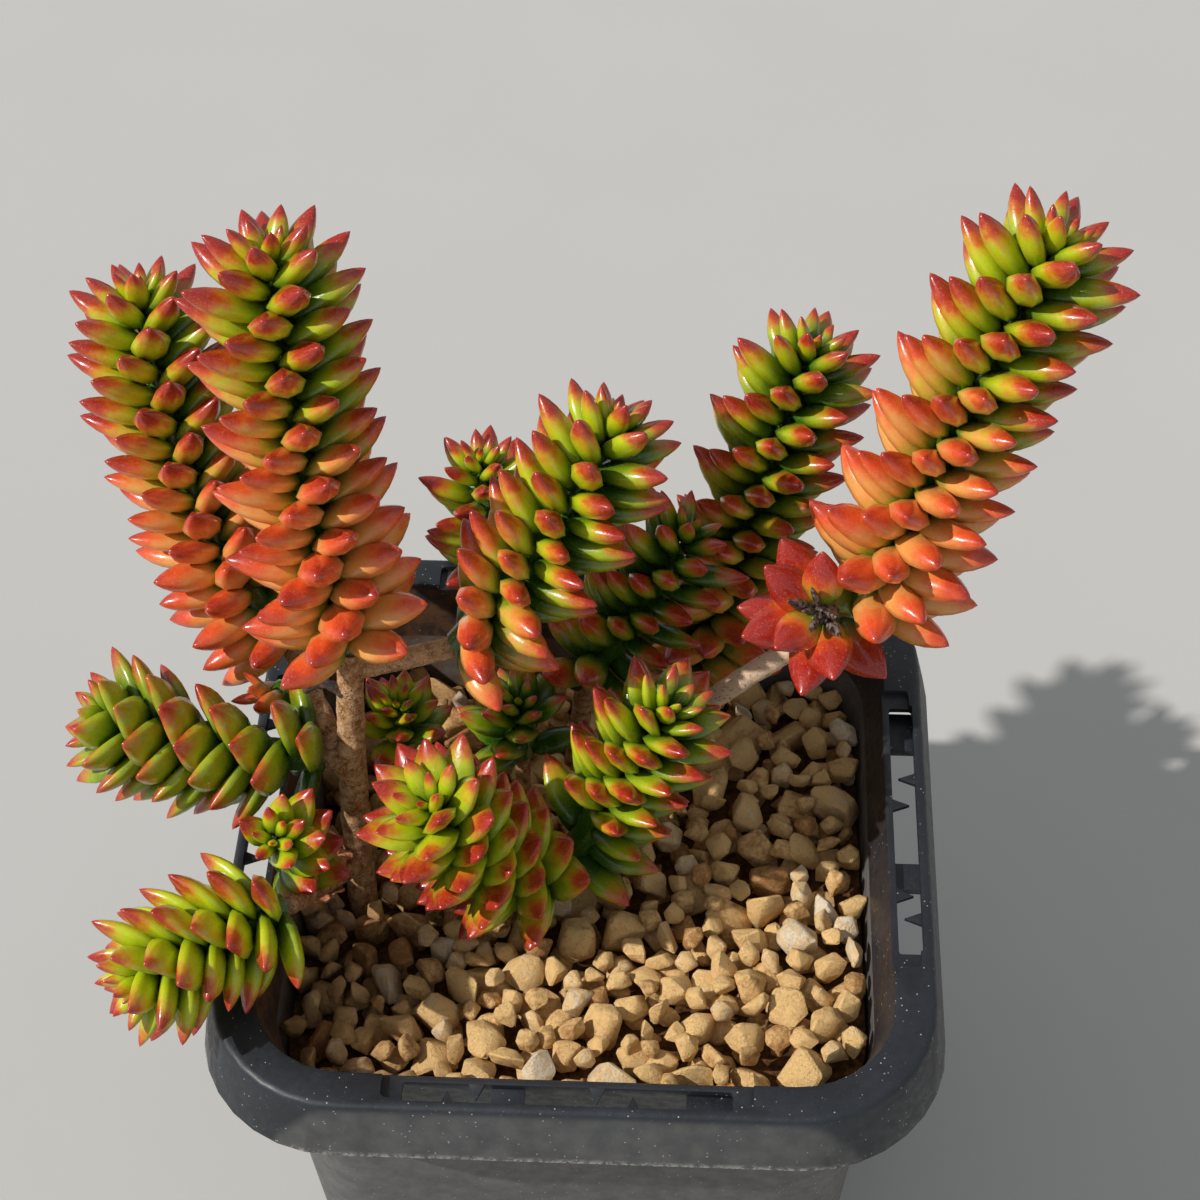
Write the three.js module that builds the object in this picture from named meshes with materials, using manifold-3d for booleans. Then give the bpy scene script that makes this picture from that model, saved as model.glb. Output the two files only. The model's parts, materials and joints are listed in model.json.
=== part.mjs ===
// A spiral-leaved sedum in a small square nursery pot: a branching succulent rooted in coarse grit.
// Millimetres, +Z up. The origin is the centre of the pot's flat base, and +Y points away from the
// pot's front.
import * as THREE from "three";
import { mergeVertices } from "three/addons/utils/BufferGeometryUtils.js";
import Module from "manifold-3d";

const wasm = await Module();
wasm.setup();

// The free gap between two pieces that touch on the real plant.
const CLEARANCE = 0.3;

// The moulded pot. Half widths are from the centre to a flat side.
const POT = {
  height: 80,
  baseHalf: 34.5,
  neckHalf: 39.1,
  mouthHalf: 39.8,
  rimHalf: 45,
  skirtHalf: 46.8,
  skirtHeight: 8.7,
  bodyCorner: 11,
  rimCorner: 17.6,
  wall: 1.1,
  floor: 1.6,
  flangeThickness: 1.6,
  cornerSteps: 6,
};

// The label slot in the middle of each side of the rim, and the barbs that grip a label in it.
const SLOT = {
  halfLength: 20,
  width: 3.1,
  inset: 1.2,
  recessHalfLength: 22.5,
  recessHalf: 43.4,
  recessDepth: 0.9,
  barbLength: 2.2,
  barbBase: 2.4,
  barbThickness: 0.5,
  outerBarbs: [8, -14.5],
  innerBarbs: [3.6, -11],
  ribs: [
    { centre: -7.2, length: 4, sunk: 2 },
    { centre: 17.3, length: 5.4, sunk: 3 },
  ],
};

// Narrow drain slits through the pot's floor, in a ring round a solid centre.
const DRAIN = { count: 8, inner: 12, length: 14, width: 2.6 };

// The grit's bumpy top slopes gently down to the back. Its grain is only hinted at here.
const GRIT = { level: 68.5, riseToFront: 0.1, riseToRight: 0.03, bump: 1.1, cells: 14, bottom: 2.2 };

// Leaves follow one another down a shoot by a constant turn. A shoot's first leaves, at its growing
// tip, are small and upright, and leaves past matureCount are full-sized and spread.
const LEAF = {
  divergence: THREE.MathUtils.degToRad(139.05),
  matureCount: 15,
  firstCount: 4,
  pitch: 0.55,
  openPitch: 0.5,
  youngPitchShare: 0.3,
  youngLengthShare: 0.36,
  youngTilt: 22,
  tilt: 62,
  openTilt: 60,
  droop: 24,
  fatness: 0.175,
  belly: 0.52,
  sides: 3,
};
const CORE_RADIUS = 2.4;

// A leaf that would dig into the grit or the rim is turned up by small steps, up to this many.
const PRESS = { step: 0.12, tries: 12 };

// Each stem is a rod along a bend of three points: foot, pull and end.
const ROD_STEP = 5;
const STEMS = {
  main_trunk: { radius: 2.1, bend: [[-30, -4, 58], [-30, -3, 88], [-28.3, 1, 110.7]] },
  back_left_branch: { radius: 1.6, bend: [[-30, -2, 90], [-35, 4, 98], [-38.5, 13.5, 96.5]] },
  centre_branch: { radius: 1.5, bend: [[-28, 1, 107], [-22, 3, 107], [-16, 4, 108]] },
  left_branch: { radius: 1.5, bend: [[-29.5, -3, 92], [-31, -2, 92], [-33, -1, 92]] },
  lower_left_branch: { radius: 1.6, bend: [[-30, -4.5, 74], [-34, -11, 77], [-36, -21, 87]] },
  right_branch: { radius: 1.4, bend: [[-2, 4, 58], [1, 7, 86], [34, 10, 109]] },
  rosette_stalk: { radius: 1.1, bend: [[29, 9, 105.5], [30, 8, 108], [30, 8, 111.5]] },
  front_stem: { radius: 1.8, bend: [[-6, 0, 58], [-5, -2, 68], [-4, -4, 74]] },
  cut_stub: { radius: 1.4, bend: [[-3.5, -3, 71.8], [1, -2.8, 71.8], [5.2, -2.8, 71.8]] },
  centre_back_stem: { radius: 1.5, bend: [[-3, 17, 56], [-2, 18, 76], [0, 19, 87]] },
  right_back_stem: { radius: 1.6, bend: [[11, 28, 56], [13, 29, 68], [15, 30, 77]] },
  far_back_stem: { radius: 1.3, bend: [[-13, 31, 56], [-13, 33, 76], [-14, 34, 89]] },
  inner_stem: { radius: 1.1, bend: [[-9, 12, 58], [-9, 12, 68], [-9, 12, 77]] },
  back_left_stem: { radius: 1.1, bend: [[-26, 15, 57], [-26, 16, 66], [-26, 16, 74]] },
};

// Shrivelled remains that still cling to the stems, as thin rods in the same form.
const WITHERED = {
  withered_leaf_left: { radius: 0.7, bend: [[-29.5, -1, 104.5], [-32, 0, 107], [-34.5, 0.5, 103]] },
  withered_shoot_centre: { radius: 1.2, bend: [[-1.5, 17.5, 86], [-4, 17, 88], [-6, 16, 90]] },
};

// A dry leaf curled round the lower left branch, along the middle stretch of its bend.
const DRY_CURL = { gap: 0.4, thickness: 0.6, arc: 230, from: 0.12, to: 0.5 };

// Each shoot's axis is a bend of three points too, from its foot to its growing tip. Turn is the
// sense in which its leaves wind, and phase is the turn of the first of them, in degrees. An open
// shoot is a rosette, whose leaves spread wider. Where two shoots meet, the one that comes first here
// keeps its leaves.
const SHOOTS = {
  tall_left_shoot: {
    axis: [[-28.5, 1, 111.5], [-33.5, 7, 137], [-34.5, 14, 162]], leaf: 10.8, turn: 1, phase: 104,
  },
  tall_right_shoot: {
    axis: [[35, 10, 110], [43, 13, 139], [53, 19, 162]], leaf: 10.8, turn: 1, phase: 128,
  },
  back_left_shoot: {
    axis: [[-39, 14, 97], [-52, 20, 110], [-56, 34, 138]], leaf: 10.1, turn: 1, phase: 40,
  },
  centre_shoot: {
    axis: [[-15, 4, 109], [0, 6, 131], [4, 12, 139]], leaf: 9.8, turn: -1, phase: 320,
  },
  front_rosette: {
    axis: [[-5, -6.1, 75], [-12, -12, 82], [-18, -14, 99.5]], leaf: 10.4, turn: 1, phase: 0, open: true,
  },
  front_right_rosette: {
    axis: [[-0.8, -2.5, 75.8], [5, -2, 91], [11, -1, 103]], leaf: 9.6, turn: 1, phase: 0, open: true,
  },
  left_shoot: {
    axis: [[-33, -1, 92], [-47, -2, 93], [-60, -2, 99]], leaf: 10, turn: 1, phase: 0, open: true,
  },
  rim_shoot: {
    axis: [[-36, -22, 88], [-44, -27, 89], [-52, -34, 89]], leaf: 9.8, turn: 1, phase: 0, open: true,
  },
  back_right_shoot: {
    axis: [[15, 30, 77], [22, 33, 110], [28, 39, 127]], leaf: 10.1, turn: 1, phase: 352,
  },
  shaded_shoot: {
    axis: [[0, 19, 87], [8, 20, 98], [13, 23, 110]], leaf: 9.4, turn: 1, phase: 0,
  },
  red_rosette: {
    axis: [[30, 7, 112], [29.5, 5, 115], [29, 2.5, 118.5]], leaf: 10, turn: 1, phase: 0, open: true,
  },
  far_back_shoot: {
    axis: [[-14, 34, 89], [-15, 35, 100], [-15, 37, 108]], leaf: 8, turn: 1, phase: 0,
  },
  small_left_rosette: {
    axis: [[-37.5, -10, 81], [-38, -12, 86], [-37.5, -15, 93]], leaf: 8, turn: 1, phase: 0, open: true,
  },
  inner_rosette: {
    axis: [[-9, 12, 78], [-9, 12, 83], [-9, 12, 88]], leaf: 8, turn: 1, phase: 0, open: true,
  },
  back_left_rosette: {
    axis: [[-26, 16, 75], [-26, 16, 79], [-26, 16, 82]], leaf: 7, turn: 1, phase: 0, open: true,
  },
  orange_side_shoot: {
    axis: [[-36.7, 9.5, 91.8], [-39, 9, 91.5], [-42, 8, 93.5]], leaf: 8.6, turn: 1, phase: 0,
  },
};

// Looks of the sub-parts.
const LOOKS = {
  pot: { color: 0x24272b, roughness: 0.6, metalness: 0 },
  grit: { color: 0xb8925f, roughness: 0.95, metalness: 0 },
  bark: { color: 0x8d7763, roughness: 0.85, metalness: 0 },
  leaf: { color: 0x93a02c, roughness: 0.35, metalness: 0 },
  withered: { color: 0xc08a68, roughness: 0.8, metalness: 0 },
};

// The vertices of a closed geometry, shared between its faces, as a solid.
function solidFrom(geometry) {
  const bare = new THREE.BufferGeometry();
  bare.setAttribute("position", geometry.getAttribute("position"));
  bare.setIndex(geometry.index);
  const merged = mergeVertices(bare, 1e-3);
  const corners = merged.index.array;
  const faces = [];
  for (let i = 0; i < corners.length; i += 3) {
    const [a, b, c] = corners.subarray(i, i + 3);
    if (a !== b && b !== c && c !== a) faces.push(a, b, c);
  }
  const vertProperties = merged.getAttribute("position").array;
  return new wasm.Manifold(new wasm.Mesh({ numProp: 3, vertProperties, triVerts: new Uint32Array(faces) }));
}

function join(solids) {
  return solids.reduce((all, solid) => all.add(solid));
}

// The part of a solid that hangs together and holds most of it.
function mainBody(solid) {
  return solid.decompose().reduce((most, body) => (body.volume() > most.volume() ? body : most));
}

function meshFrom(name, solid, look) {
  const { vertProperties, triVerts } = solid.getMesh();
  const geometry = new THREE.BufferGeometry();
  geometry.setAttribute("position", new THREE.BufferAttribute(vertProperties, 3));
  geometry.setIndex(new THREE.BufferAttribute(triVerts, 1));
  geometry.computeVertexNormals();
  const mesh = new THREE.Mesh(geometry, new THREE.MeshStandardMaterial(LOOKS[look]));
  mesh.name = name;
  return mesh;
}

function block(width, depth, height, x, y, z) {
  return solidFrom(new THREE.BoxGeometry(width, depth, height).translate(x, y, z));
}

// A square with rounded corners, centred on the axis.
function roundedSquare(half, corner) {
  const flat = half - corner;
  const shape = new THREE.Shape();
  shape.absarc(flat, flat, corner, 0, Math.PI / 2);
  shape.absarc(-flat, flat, corner, Math.PI / 2, Math.PI);
  shape.absarc(-flat, -flat, corner, Math.PI, 1.5 * Math.PI);
  shape.absarc(flat, -flat, corner, 1.5 * Math.PI, 2 * Math.PI);
  return shape;
}

// A block on such squares, one at each level, given as height and half width.
function leaningBlock(corner, levels) {
  const steps = levels.length - 1;
  const [, firstHalf] = levels[0];
  const settings = { depth: steps, steps, bevelEnabled: false, curveSegments: POT.cornerSteps };
  const geometry = new THREE.ExtrudeGeometry(roundedSquare(firstHalf, corner), settings);
  const spots = geometry.getAttribute("position");
  for (let i = 0; i < spots.count; i++) {
    const [height, half] = levels[Math.round(spots.getZ(i))];
    const growth = half / firstHalf;
    spots.setXYZ(i, spots.getX(i) * growth, spots.getY(i) * growth, height);
  }
  return solidFrom(geometry);
}

// The slot and the shallow step round it, for the side that faces +X.
function slotCutter() {
  const outer = POT.rimHalf - SLOT.inset;
  const middle = outer - SLOT.width / 2;
  const slot = block(SLOT.width, 2 * SLOT.halfLength, 4 * POT.flangeThickness, middle, 0, POT.height);
  const start = POT.neckHalf - 2;
  const step = block(
    SLOT.recessHalf - start, 2 * SLOT.recessHalfLength, 2 * SLOT.recessDepth,
    (SLOT.recessHalf + start) / 2, 0, POT.height,
  );
  return slot.add(step);
}

// A flat pointed barb that reaches into the slot from one of its long sides.
function barb(root, reach, place) {
  const shape = new THREE.Shape();
  shape.moveTo(root, place - SLOT.barbBase / 2);
  shape.lineTo(root + reach, place);
  shape.lineTo(root, place + SLOT.barbBase / 2);
  const geometry = new THREE.ExtrudeGeometry(shape, { depth: SLOT.barbThickness, bevelEnabled: false });
  const top = POT.height - SLOT.recessDepth - 0.05;
  return solidFrom(geometry.translate(0, 0, top - SLOT.barbThickness));
}

function slotTeeth() {
  const outer = POT.rimHalf - SLOT.inset;
  const inner = outer - SLOT.width;
  const bite = 0.6;
  const outerBarbs = SLOT.outerBarbs.map((place) => barb(outer + bite, -SLOT.barbLength - bite, place));
  const innerBarbs = SLOT.innerBarbs.map((place) => barb(inner - bite, SLOT.barbLength + bite, place));
  const ribs = SLOT.ribs.map((rib) => {
    const from = inner - 0.7;
    const to = outer + 1;
    const middle = POT.height - rib.sunk - POT.wall / 2;
    return block(to - from, rib.length, POT.wall, (from + to) / 2, rib.centre, middle);
  });
  return [...outerBarbs, ...innerBarbs, ...ribs];
}

function quarterTurns(solid) {
  return [0, 90, 180, 270].map((angle) => solid.rotate([0, 0, angle]));
}

function nurseryPot() {
  const top = POT.height;
  const skirtLow = top - POT.skirtHeight;
  const flangeLow = top - POT.flangeThickness;
  const outerSkirt = leaningBlock(POT.rimCorner + 0.7, [[skirtLow, POT.skirtHalf], [top, POT.rimHalf]]);
  const innerSkirt = leaningBlock(POT.rimCorner - 0.4, [
    [skirtLow - 1, POT.skirtHalf - POT.wall],
    [flangeLow, POT.rimHalf - POT.wall + 0.3],
  ]);
  const body = leaningBlock(POT.bodyCorner, [
    [0, POT.baseHalf],
    [skirtLow, POT.neckHalf],
    [top - 0.5, POT.mouthHalf + POT.wall],
  ]);
  const hollow = leaningBlock(POT.bodyCorner - POT.wall / 2, [
    [POT.floor, POT.baseHalf - POT.wall],
    [skirtLow, POT.neckHalf - POT.wall],
    [top + 0.5, POT.mouthHalf + 0.1],
  ]);
  const shell = outerSkirt.subtract(innerSkirt).add(body).subtract(hollow);
  const slotted = quarterTurns(slotCutter()).reduce((rest, cut) => rest.subtract(cut), shell);
  const toothed = join([slotted, ...quarterTurns(join(slotTeeth()))]);
  const slit = block(DRAIN.length, DRAIN.width, 4 * POT.floor, DRAIN.inner + DRAIN.length / 2, 0, 0);
  let drained = toothed;
  for (let i = 0; i < DRAIN.count; i++) {
    drained = drained.subtract(slit.rotate([0, 0, (i * 360) / DRAIN.count]));
  }
  return drained;
}

// The grit's level without its bumps.
function gritLevel(x, y) {
  return GRIT.level - GRIT.riseToFront * y + GRIT.riseToRight * x;
}

function gritBump(x, y) {
  return GRIT.bump * (Math.sin(1.3 * x + 0.7 * y) * Math.cos(1.1 * y - 0.4 * x) + 0.4 * Math.sin(2.3 * y));
}

// The bed fills the pot to its bumpy top: a slab with a wavy upper face, cut to the hollow.
function gritBed(stems) {
  const half = POT.mouthHalf;
  const deep = GRIT.level - GRIT.bottom;
  const slab = new THREE.BoxGeometry(2 * half, 2 * half, deep, GRIT.cells, GRIT.cells, 1);
  const spots = slab.getAttribute("position");
  for (let i = 0; i < spots.count; i++) {
    const x = spots.getX(i);
    const y = spots.getY(i);
    const top = gritLevel(x, y) + gritBump(x, y);
    spots.setZ(i, spots.getZ(i) > 0 ? top : GRIT.bottom);
  }
  const gap = POT.wall + CLEARANCE;
  const fill = leaningBlock(POT.bodyCorner - gap / 2, [
    [0, POT.baseHalf - gap],
    [POT.height - POT.skirtHeight, POT.neckHalf - gap],
    [POT.height, POT.mouthHalf - CLEARANCE],
  ]);
  const bed = solidFrom(slab).intersect(fill);
  return withoutAll(bed, stems);
}

function bendOf(points) {
  return new THREE.QuadraticBezierCurve3(...points.map((point) => new THREE.Vector3(...point)));
}

// A round rod along a bend. Extra makes it that much fatter and longer at both ends.
function rod(points, radius, extra = 0) {
  const bend = bendOf(points);
  const foot = bend.v0.clone().addScaledVector(bend.getTangent(0), -extra);
  const end = bend.v2.clone().addScaledVector(bend.getTangent(1), extra);
  const path = new THREE.QuadraticBezierCurve3(foot, bend.v1, end);
  const section = new THREE.Shape().absarc(0, 0, radius + extra, 0, 2 * Math.PI);
  const steps = Math.max(2, Math.round(path.getLength() / ROD_STEP));
  const settings = { steps, bevelEnabled: false, curveSegments: 4, extrudePath: path };
  return solidFrom(new THREE.ExtrudeGeometry(section, settings));
}

// The surface that a leaf may lie on: the grit inside the pot, its rim, and nothing beyond.
function restLevel(x, y) {
  const reach = Math.max(Math.abs(x), Math.abs(y));
  if (reach < POT.neckHalf - POT.wall) return gritLevel(x, y) + GRIT.bump + 0.3;
  return reach < POT.skirtHalf + 1 ? POT.height : 0;
}

// Where a shoot's leaves sit: the leaf's root, its direction, its length and the outward side.
function leafPlaces(shoot) {
  const axis = bendOf(shoot.axis);
  const length = axis.getLength();
  const front = new THREE.Vector3(0, -1, 0);
  const fullTilt = shoot.open ? LEAF.openTilt : LEAF.tilt;
  const pitch = shoot.open ? LEAF.openPitch : LEAF.pitch;
  const places = [];
  let down = 0;
  for (let count = 0; down < length; count++) {
    const age = Math.min(1, count / LEAF.matureCount);
    const along = axis.getTangentAt(1 - down / length);
    const outward = front.clone().addScaledVector(along, -front.dot(along)).normalize();
    const turned = shoot.turn * count * LEAF.divergence + THREE.MathUtils.degToRad(shoot.phase);
    outward.applyAxisAngle(along, turned);
    const lowness = Math.max(0, (2 * down) / length - 1);
    const spread = THREE.MathUtils.lerp(LEAF.youngTilt, fullTilt, age ** 0.75) + LEAF.droop * lowness ** 2;
    const tilt = THREE.MathUtils.degToRad(spread);
    const direction = along.clone().multiplyScalar(Math.cos(tilt)).addScaledVector(outward, Math.sin(tilt));
    const size = shoot.leaf * THREE.MathUtils.lerp(LEAF.youngLengthShare, 1, age ** 0.7);
    const core = CORE_RADIUS * THREE.MathUtils.lerp(0.3, 1, age);
    const root = axis.getPointAt(1 - down / length).addScaledVector(outward, 0.6 * core);
    places.push({ root, direction, size, radius: LEAF.fatness * size });
    down += pitch * THREE.MathUtils.lerp(LEAF.youngPitchShare, 1, age);
  }
  return places.slice(LEAF.firstCount);
}

// A leaf whose tip would dig into what lies below it is pressed up until it is clear.
function pressedUp(place) {
  const lift = new THREE.Vector3(0, 0, PRESS.step);
  const leaf = { ...place, direction: place.direction.clone() };
  for (let tries = 0; tries < PRESS.tries; tries++) {
    const clear = [0.35, 0.7, 1].every((share) => {
      const spot = leaf.root.clone().addScaledVector(leaf.direction, share * leaf.size);
      return spot.z - (share < 1 ? leaf.radius : 0) > restLevel(spot.x, spot.y) + CLEARANCE;
    });
    if (clear) return leaf;
    leaf.direction.add(lift).normalize();
  }
  return null;
}

// A shoot's core as two straight stretches, which other shoots' leaves keep clear of.
function coreStretches(shoot) {
  const axis = bendOf(shoot.axis);
  return [[0, 0.5], [0.5, 1]].map(([from, to]) => {
    const root = axis.getPointAt(from);
    const direction = axis.getPointAt(to).sub(root);
    return { root, size: direction.length(), direction: direction.normalize(), radius: CORE_RADIUS };
  });
}

// The free space between two leaves or stretches, taken as straight round rods.
function gapBetween(a, b) {
  const p = a.direction.clone().multiplyScalar(a.size);
  const q = b.direction.clone().multiplyScalar(b.size);
  const r = a.root.clone().sub(b.root);
  const [pp, qq, pq, pr, qr] = [p.dot(p), q.dot(q), p.dot(q), p.dot(r), q.dot(r)];
  const clamp = THREE.MathUtils.clamp;
  const spread = pp * qq - pq * pq;
  let s = spread > 1e-9 ? clamp((pq * qr - pr * qq) / spread, 0, 1) : 0;
  const t = clamp((pq * s + qr) / qq, 0, 1);
  s = clamp((pq * t - pr) / pp, 0, 1);
  return r.addScaledVector(p, s).addScaledVector(q, -t).length() - a.radius - b.radius;
}

function leafSolid({ root, direction, size, radius }) {
  const profile = [[0, 0], [radius, LEAF.belly * size], [0, size]];
  const points = profile.map(([x, y]) => new THREE.Vector2(x, y));
  const turn = new THREE.Quaternion().setFromUnitVectors(new THREE.Vector3(0, 1, 0), direction);
  const leaf = new THREE.LatheGeometry(points, LEAF.sides).applyQuaternion(turn);
  return solidFrom(leaf.translate(root.x, root.y, root.z));
}

// A shoot: a straight core with a round bud at its tip, and its leaves all round it.
function shootSolid(shoot, leaves) {
  const bend = bendOf(shoot.axis);
  const share = Math.max(0.5, 1 - (1.5 * CORE_RADIUS) / bend.getLength());
  const budCentre = bend.getPointAt(share);
  const settings = { steps: 6, bevelEnabled: false, curveSegments: 3 };
  const path = new THREE.QuadraticBezierCurve3(bend.v0, bend.v0.clone().lerp(bend.v1, share), budCentre);
  const section = new THREE.Shape().absarc(0, 0, CORE_RADIUS, 0, 2 * Math.PI);
  const core = solidFrom(new THREE.ExtrudeGeometry(section, { ...settings, extrudePath: path }));
  const budLength = 1.3 * bend.v2.distanceTo(budCentre);
  const bud = leafSolid({
    root: budCentre.clone().addScaledVector(bend.getTangent(1), -0.5 * budLength),
    direction: bend.getTangent(1),
    size: 2 * budLength,
    radius: 2 * LEAF.fatness * budLength,
  });
  return join([core, bud, ...leaves.map(leafSolid)]);
}

// A split tube that clasps the branch: a thick arc drawn along a stretch of the branch's bend.
function dryCurl() {
  const { radius, bend } = STEMS.lower_left_branch;
  const inner = radius + DRY_CURL.gap;
  const outer = inner + DRY_CURL.thickness;
  const half = THREE.MathUtils.degToRad(DRY_CURL.arc / 2);
  const section = new THREE.Shape();
  section.absarc(0, 0, outer, -half, half);
  section.absarc(0, 0, inner, half, -half, true);
  const whole = bendOf(bend);
  const shares = [DRY_CURL.from, (DRY_CURL.from + DRY_CURL.to) / 2, DRY_CURL.to];
  const extrudePath = new THREE.CatmullRomCurve3(shares.map((share) => whole.getPoint(share)));
  const settings = { steps: 4, bevelEnabled: false, curveSegments: 5, extrudePath };
  return solidFrom(new THREE.ExtrudeGeometry(section, settings));
}

function withoutAll(solid, others) {
  return mainBody(others.reduce((rest, other) => rest.subtract(other), solid));
}

const plant = new THREE.Group();
const grown = [];
for (const [table, look] of [[STEMS, "bark"], [WITHERED, "withered"]]) {
  for (const [name, { bend, radius }] of Object.entries(table)) {
    plant.add(meshFrom(name, withoutAll(rod(bend, radius), grown), look));
    grown.push(rod(bend, radius, CLEARANCE));
  }
}
const fixed = grown.filter((_, i) => i !== Object.keys(STEMS).indexOf("lower_left_branch"));
const curl = withoutAll(dryCurl(), fixed);
plant.add(meshFrom("dry_leaf_curl", curl, "withered"));

const settled = [];
for (const [name, shoot] of Object.entries(SHOOTS)) {
  const others = Object.values(SHOOTS).filter((other) => other !== shoot);
  const inTheWay = [...settled, ...others.flatMap(coreStretches)];
  const places = leafPlaces(shoot).map(pressedUp).filter(Boolean);
  const leaves = places.filter((leaf) => inTheWay.every((other) => gapBetween(leaf, other) > CLEARANCE));
  settled.push(...leaves);
  const whole = shootSolid(shoot, leaves);
  plant.add(meshFrom(name, withoutAll(whole, [...grown, curl]), "leaf"));
}

const object = new THREE.Group();
object.add(meshFrom("nursery_pot", nurseryPot(), "pot"));
object.add(meshFrom("grit_bed", gritBed(grown), "grit"));
object.add(plant);

export default object;
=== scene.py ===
"""A potted spiral staircase sedum: leafy shoots on woody stems, in a small square pot of coarse grit.

The file is laid out as a Blender add-on. Tables are in millimetres, and what they make is in metres,
with the origin at the centre of the pot's flat base, +Z up, and +Y away from the pot's front.
"""

import json
import math
import random

import bmesh
import bpy
import numpy as np
from bpy.props import FloatProperty, FloatVectorProperty, IntProperty, PointerProperty
from mathutils import Matrix, Vector, noise

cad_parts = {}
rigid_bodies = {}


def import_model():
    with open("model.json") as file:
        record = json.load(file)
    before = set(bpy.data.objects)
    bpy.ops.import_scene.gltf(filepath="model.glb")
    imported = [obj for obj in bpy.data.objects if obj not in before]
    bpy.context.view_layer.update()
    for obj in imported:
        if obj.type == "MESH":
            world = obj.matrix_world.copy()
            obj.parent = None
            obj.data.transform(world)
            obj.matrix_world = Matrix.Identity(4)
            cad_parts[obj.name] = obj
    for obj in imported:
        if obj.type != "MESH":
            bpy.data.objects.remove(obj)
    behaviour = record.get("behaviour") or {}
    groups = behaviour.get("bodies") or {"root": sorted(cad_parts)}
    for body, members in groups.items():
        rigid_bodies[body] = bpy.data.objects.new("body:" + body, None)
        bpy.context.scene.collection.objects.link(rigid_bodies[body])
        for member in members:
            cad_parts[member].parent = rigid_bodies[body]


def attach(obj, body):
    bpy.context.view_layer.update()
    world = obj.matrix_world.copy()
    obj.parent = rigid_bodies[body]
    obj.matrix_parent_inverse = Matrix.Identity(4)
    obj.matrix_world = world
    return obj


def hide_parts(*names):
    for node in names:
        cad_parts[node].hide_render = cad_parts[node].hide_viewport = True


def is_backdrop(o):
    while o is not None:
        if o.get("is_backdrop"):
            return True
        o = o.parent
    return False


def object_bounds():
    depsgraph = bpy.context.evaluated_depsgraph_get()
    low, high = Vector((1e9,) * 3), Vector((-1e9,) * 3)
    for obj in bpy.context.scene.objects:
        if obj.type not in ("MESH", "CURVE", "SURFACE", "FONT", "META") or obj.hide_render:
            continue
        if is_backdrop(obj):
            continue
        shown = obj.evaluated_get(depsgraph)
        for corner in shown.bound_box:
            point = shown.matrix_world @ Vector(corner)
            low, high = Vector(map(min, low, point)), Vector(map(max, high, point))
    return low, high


bl_info = {
    "name": "Potted Spiral Staircase Sedum",
    "version": (1, 0, 0),
    "blender": (4, 5, 0),
    "location": "View3D > Sidebar > Sedum",
    "description": "Builds a spiral-leaved sedum in a small square pot of coarse grit",
    "category": "Object",
}

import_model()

MM = 0.001

# The pot's main sizes. Half widths are from the centre to a flat side.
POT_HEIGHT = 80
BASE_HALF = 34.5
NECK_HALF = 39.1
SKIRT_HALF = 46.8
SKIRT_FOOT = 71.3
WALL = 1.1
FLOOR = 1.6
BODY_CORNER = 11
HOLLOW_CORNER = 10.45
SKIRT_CORNER = 18.3

# The label slot in the middle of each side, for the side that faces +X, and the shallow step round it.
SLOT_NEAR = 40.7
SLOT_FAR = 43.8
SLOT_HALF_LENGTH = 20
STEP_NEAR = 37.1
STEP_FAR = 43.4
STEP_HALF_LENGTH = 22.5
STEP_DEPTH = 0.9
BARB_LENGTH = 2.2
BARB_BASE = 2.4
BARB_THICKNESS = 0.5
OUTER_BARBS = (8, -14.5)
INNER_BARBS = (3.6, -11)
SLOT_RIBS = ((-7.2, 4, 2), (17.6, 6.4, 3))
TOOTH_BITE = 0.6

# A drain slit in the pot's floor, for the one towards +X.
DRAIN_MIDDLE = (19, 0)
DRAIN_HALF_LENGTH = 7
DRAIN_HALF_WIDTH = 1.3
DRAIN_CORNER = 1.2
DRAIN_COUNT = 8

# The grit's level at the centre, and how it rises to the front and to the right.
GRIT_LEVEL = 68.5
GRIT_RISE_FRONT = 0.1
GRIT_RISE_RIGHT = 0.03
GRIT_BUMP = 1.1

# The pour. Grains fall on a surface this far below the grit's level, and none may pass the level by more
# than the excess. Each takes the lowest of so many places, and the pour ends when so many in a row have
# found none. The margin and the corner keep grains off the pot's wall. A grain reaches sideways by a share
# of its radius, sinks in between its neighbours, and keeps its body off the stems.
POUR_DEPTH = 6.5
POUR_EXCESS = 1.0
POUR_TRIES = 14
POUR_FAILURES = 90
POUR_MARGIN = 0.6
POUR_CORNER = 8
POUR_CORNER_REACH = 7
GRAIN_LIMIT = 1000
GRAIN_SIZE_RAMP = 1.5
GRAIN_REACH_SHARE = 0.85
GRAIN_NESTING = 0.86
GRAIN_BODY_SHARE = 0.75

# How grains look: how many forms there are, with how many corners each, at least how far apart, how worn
# their edges are, and how much larger than its radius a grain is drawn.
GRAIN_FORMS = 12
GRAIN_CORNERS = 10
GRAIN_CORNER_GAP = 0.68
GRAIN_WEAR = 0.10
GRAIN_SWELL = 1.1

# The fill under the grains: the heights between which it widens with the pot, and how far below the
# grit's level its top lies.
FILL_BOTTOM = 2.3
FILL_TOP = 64
FILL_DEPTH = 5.2

# The withered remains' relief and their first seed, and the dry leaf that is rolled round a stretch of the
# lower left branch: its thickness and radius, and degrees from its middle to its split.
WITHERED_KNOBS = 0.7
WITHERED_SEED = 20
CURL_STRETCH = (0.12, 0.5)
CURL_THICKNESS = 0.3
CURL_RADIUS = 2.45
CURL_HALF_TURN = 115

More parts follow.
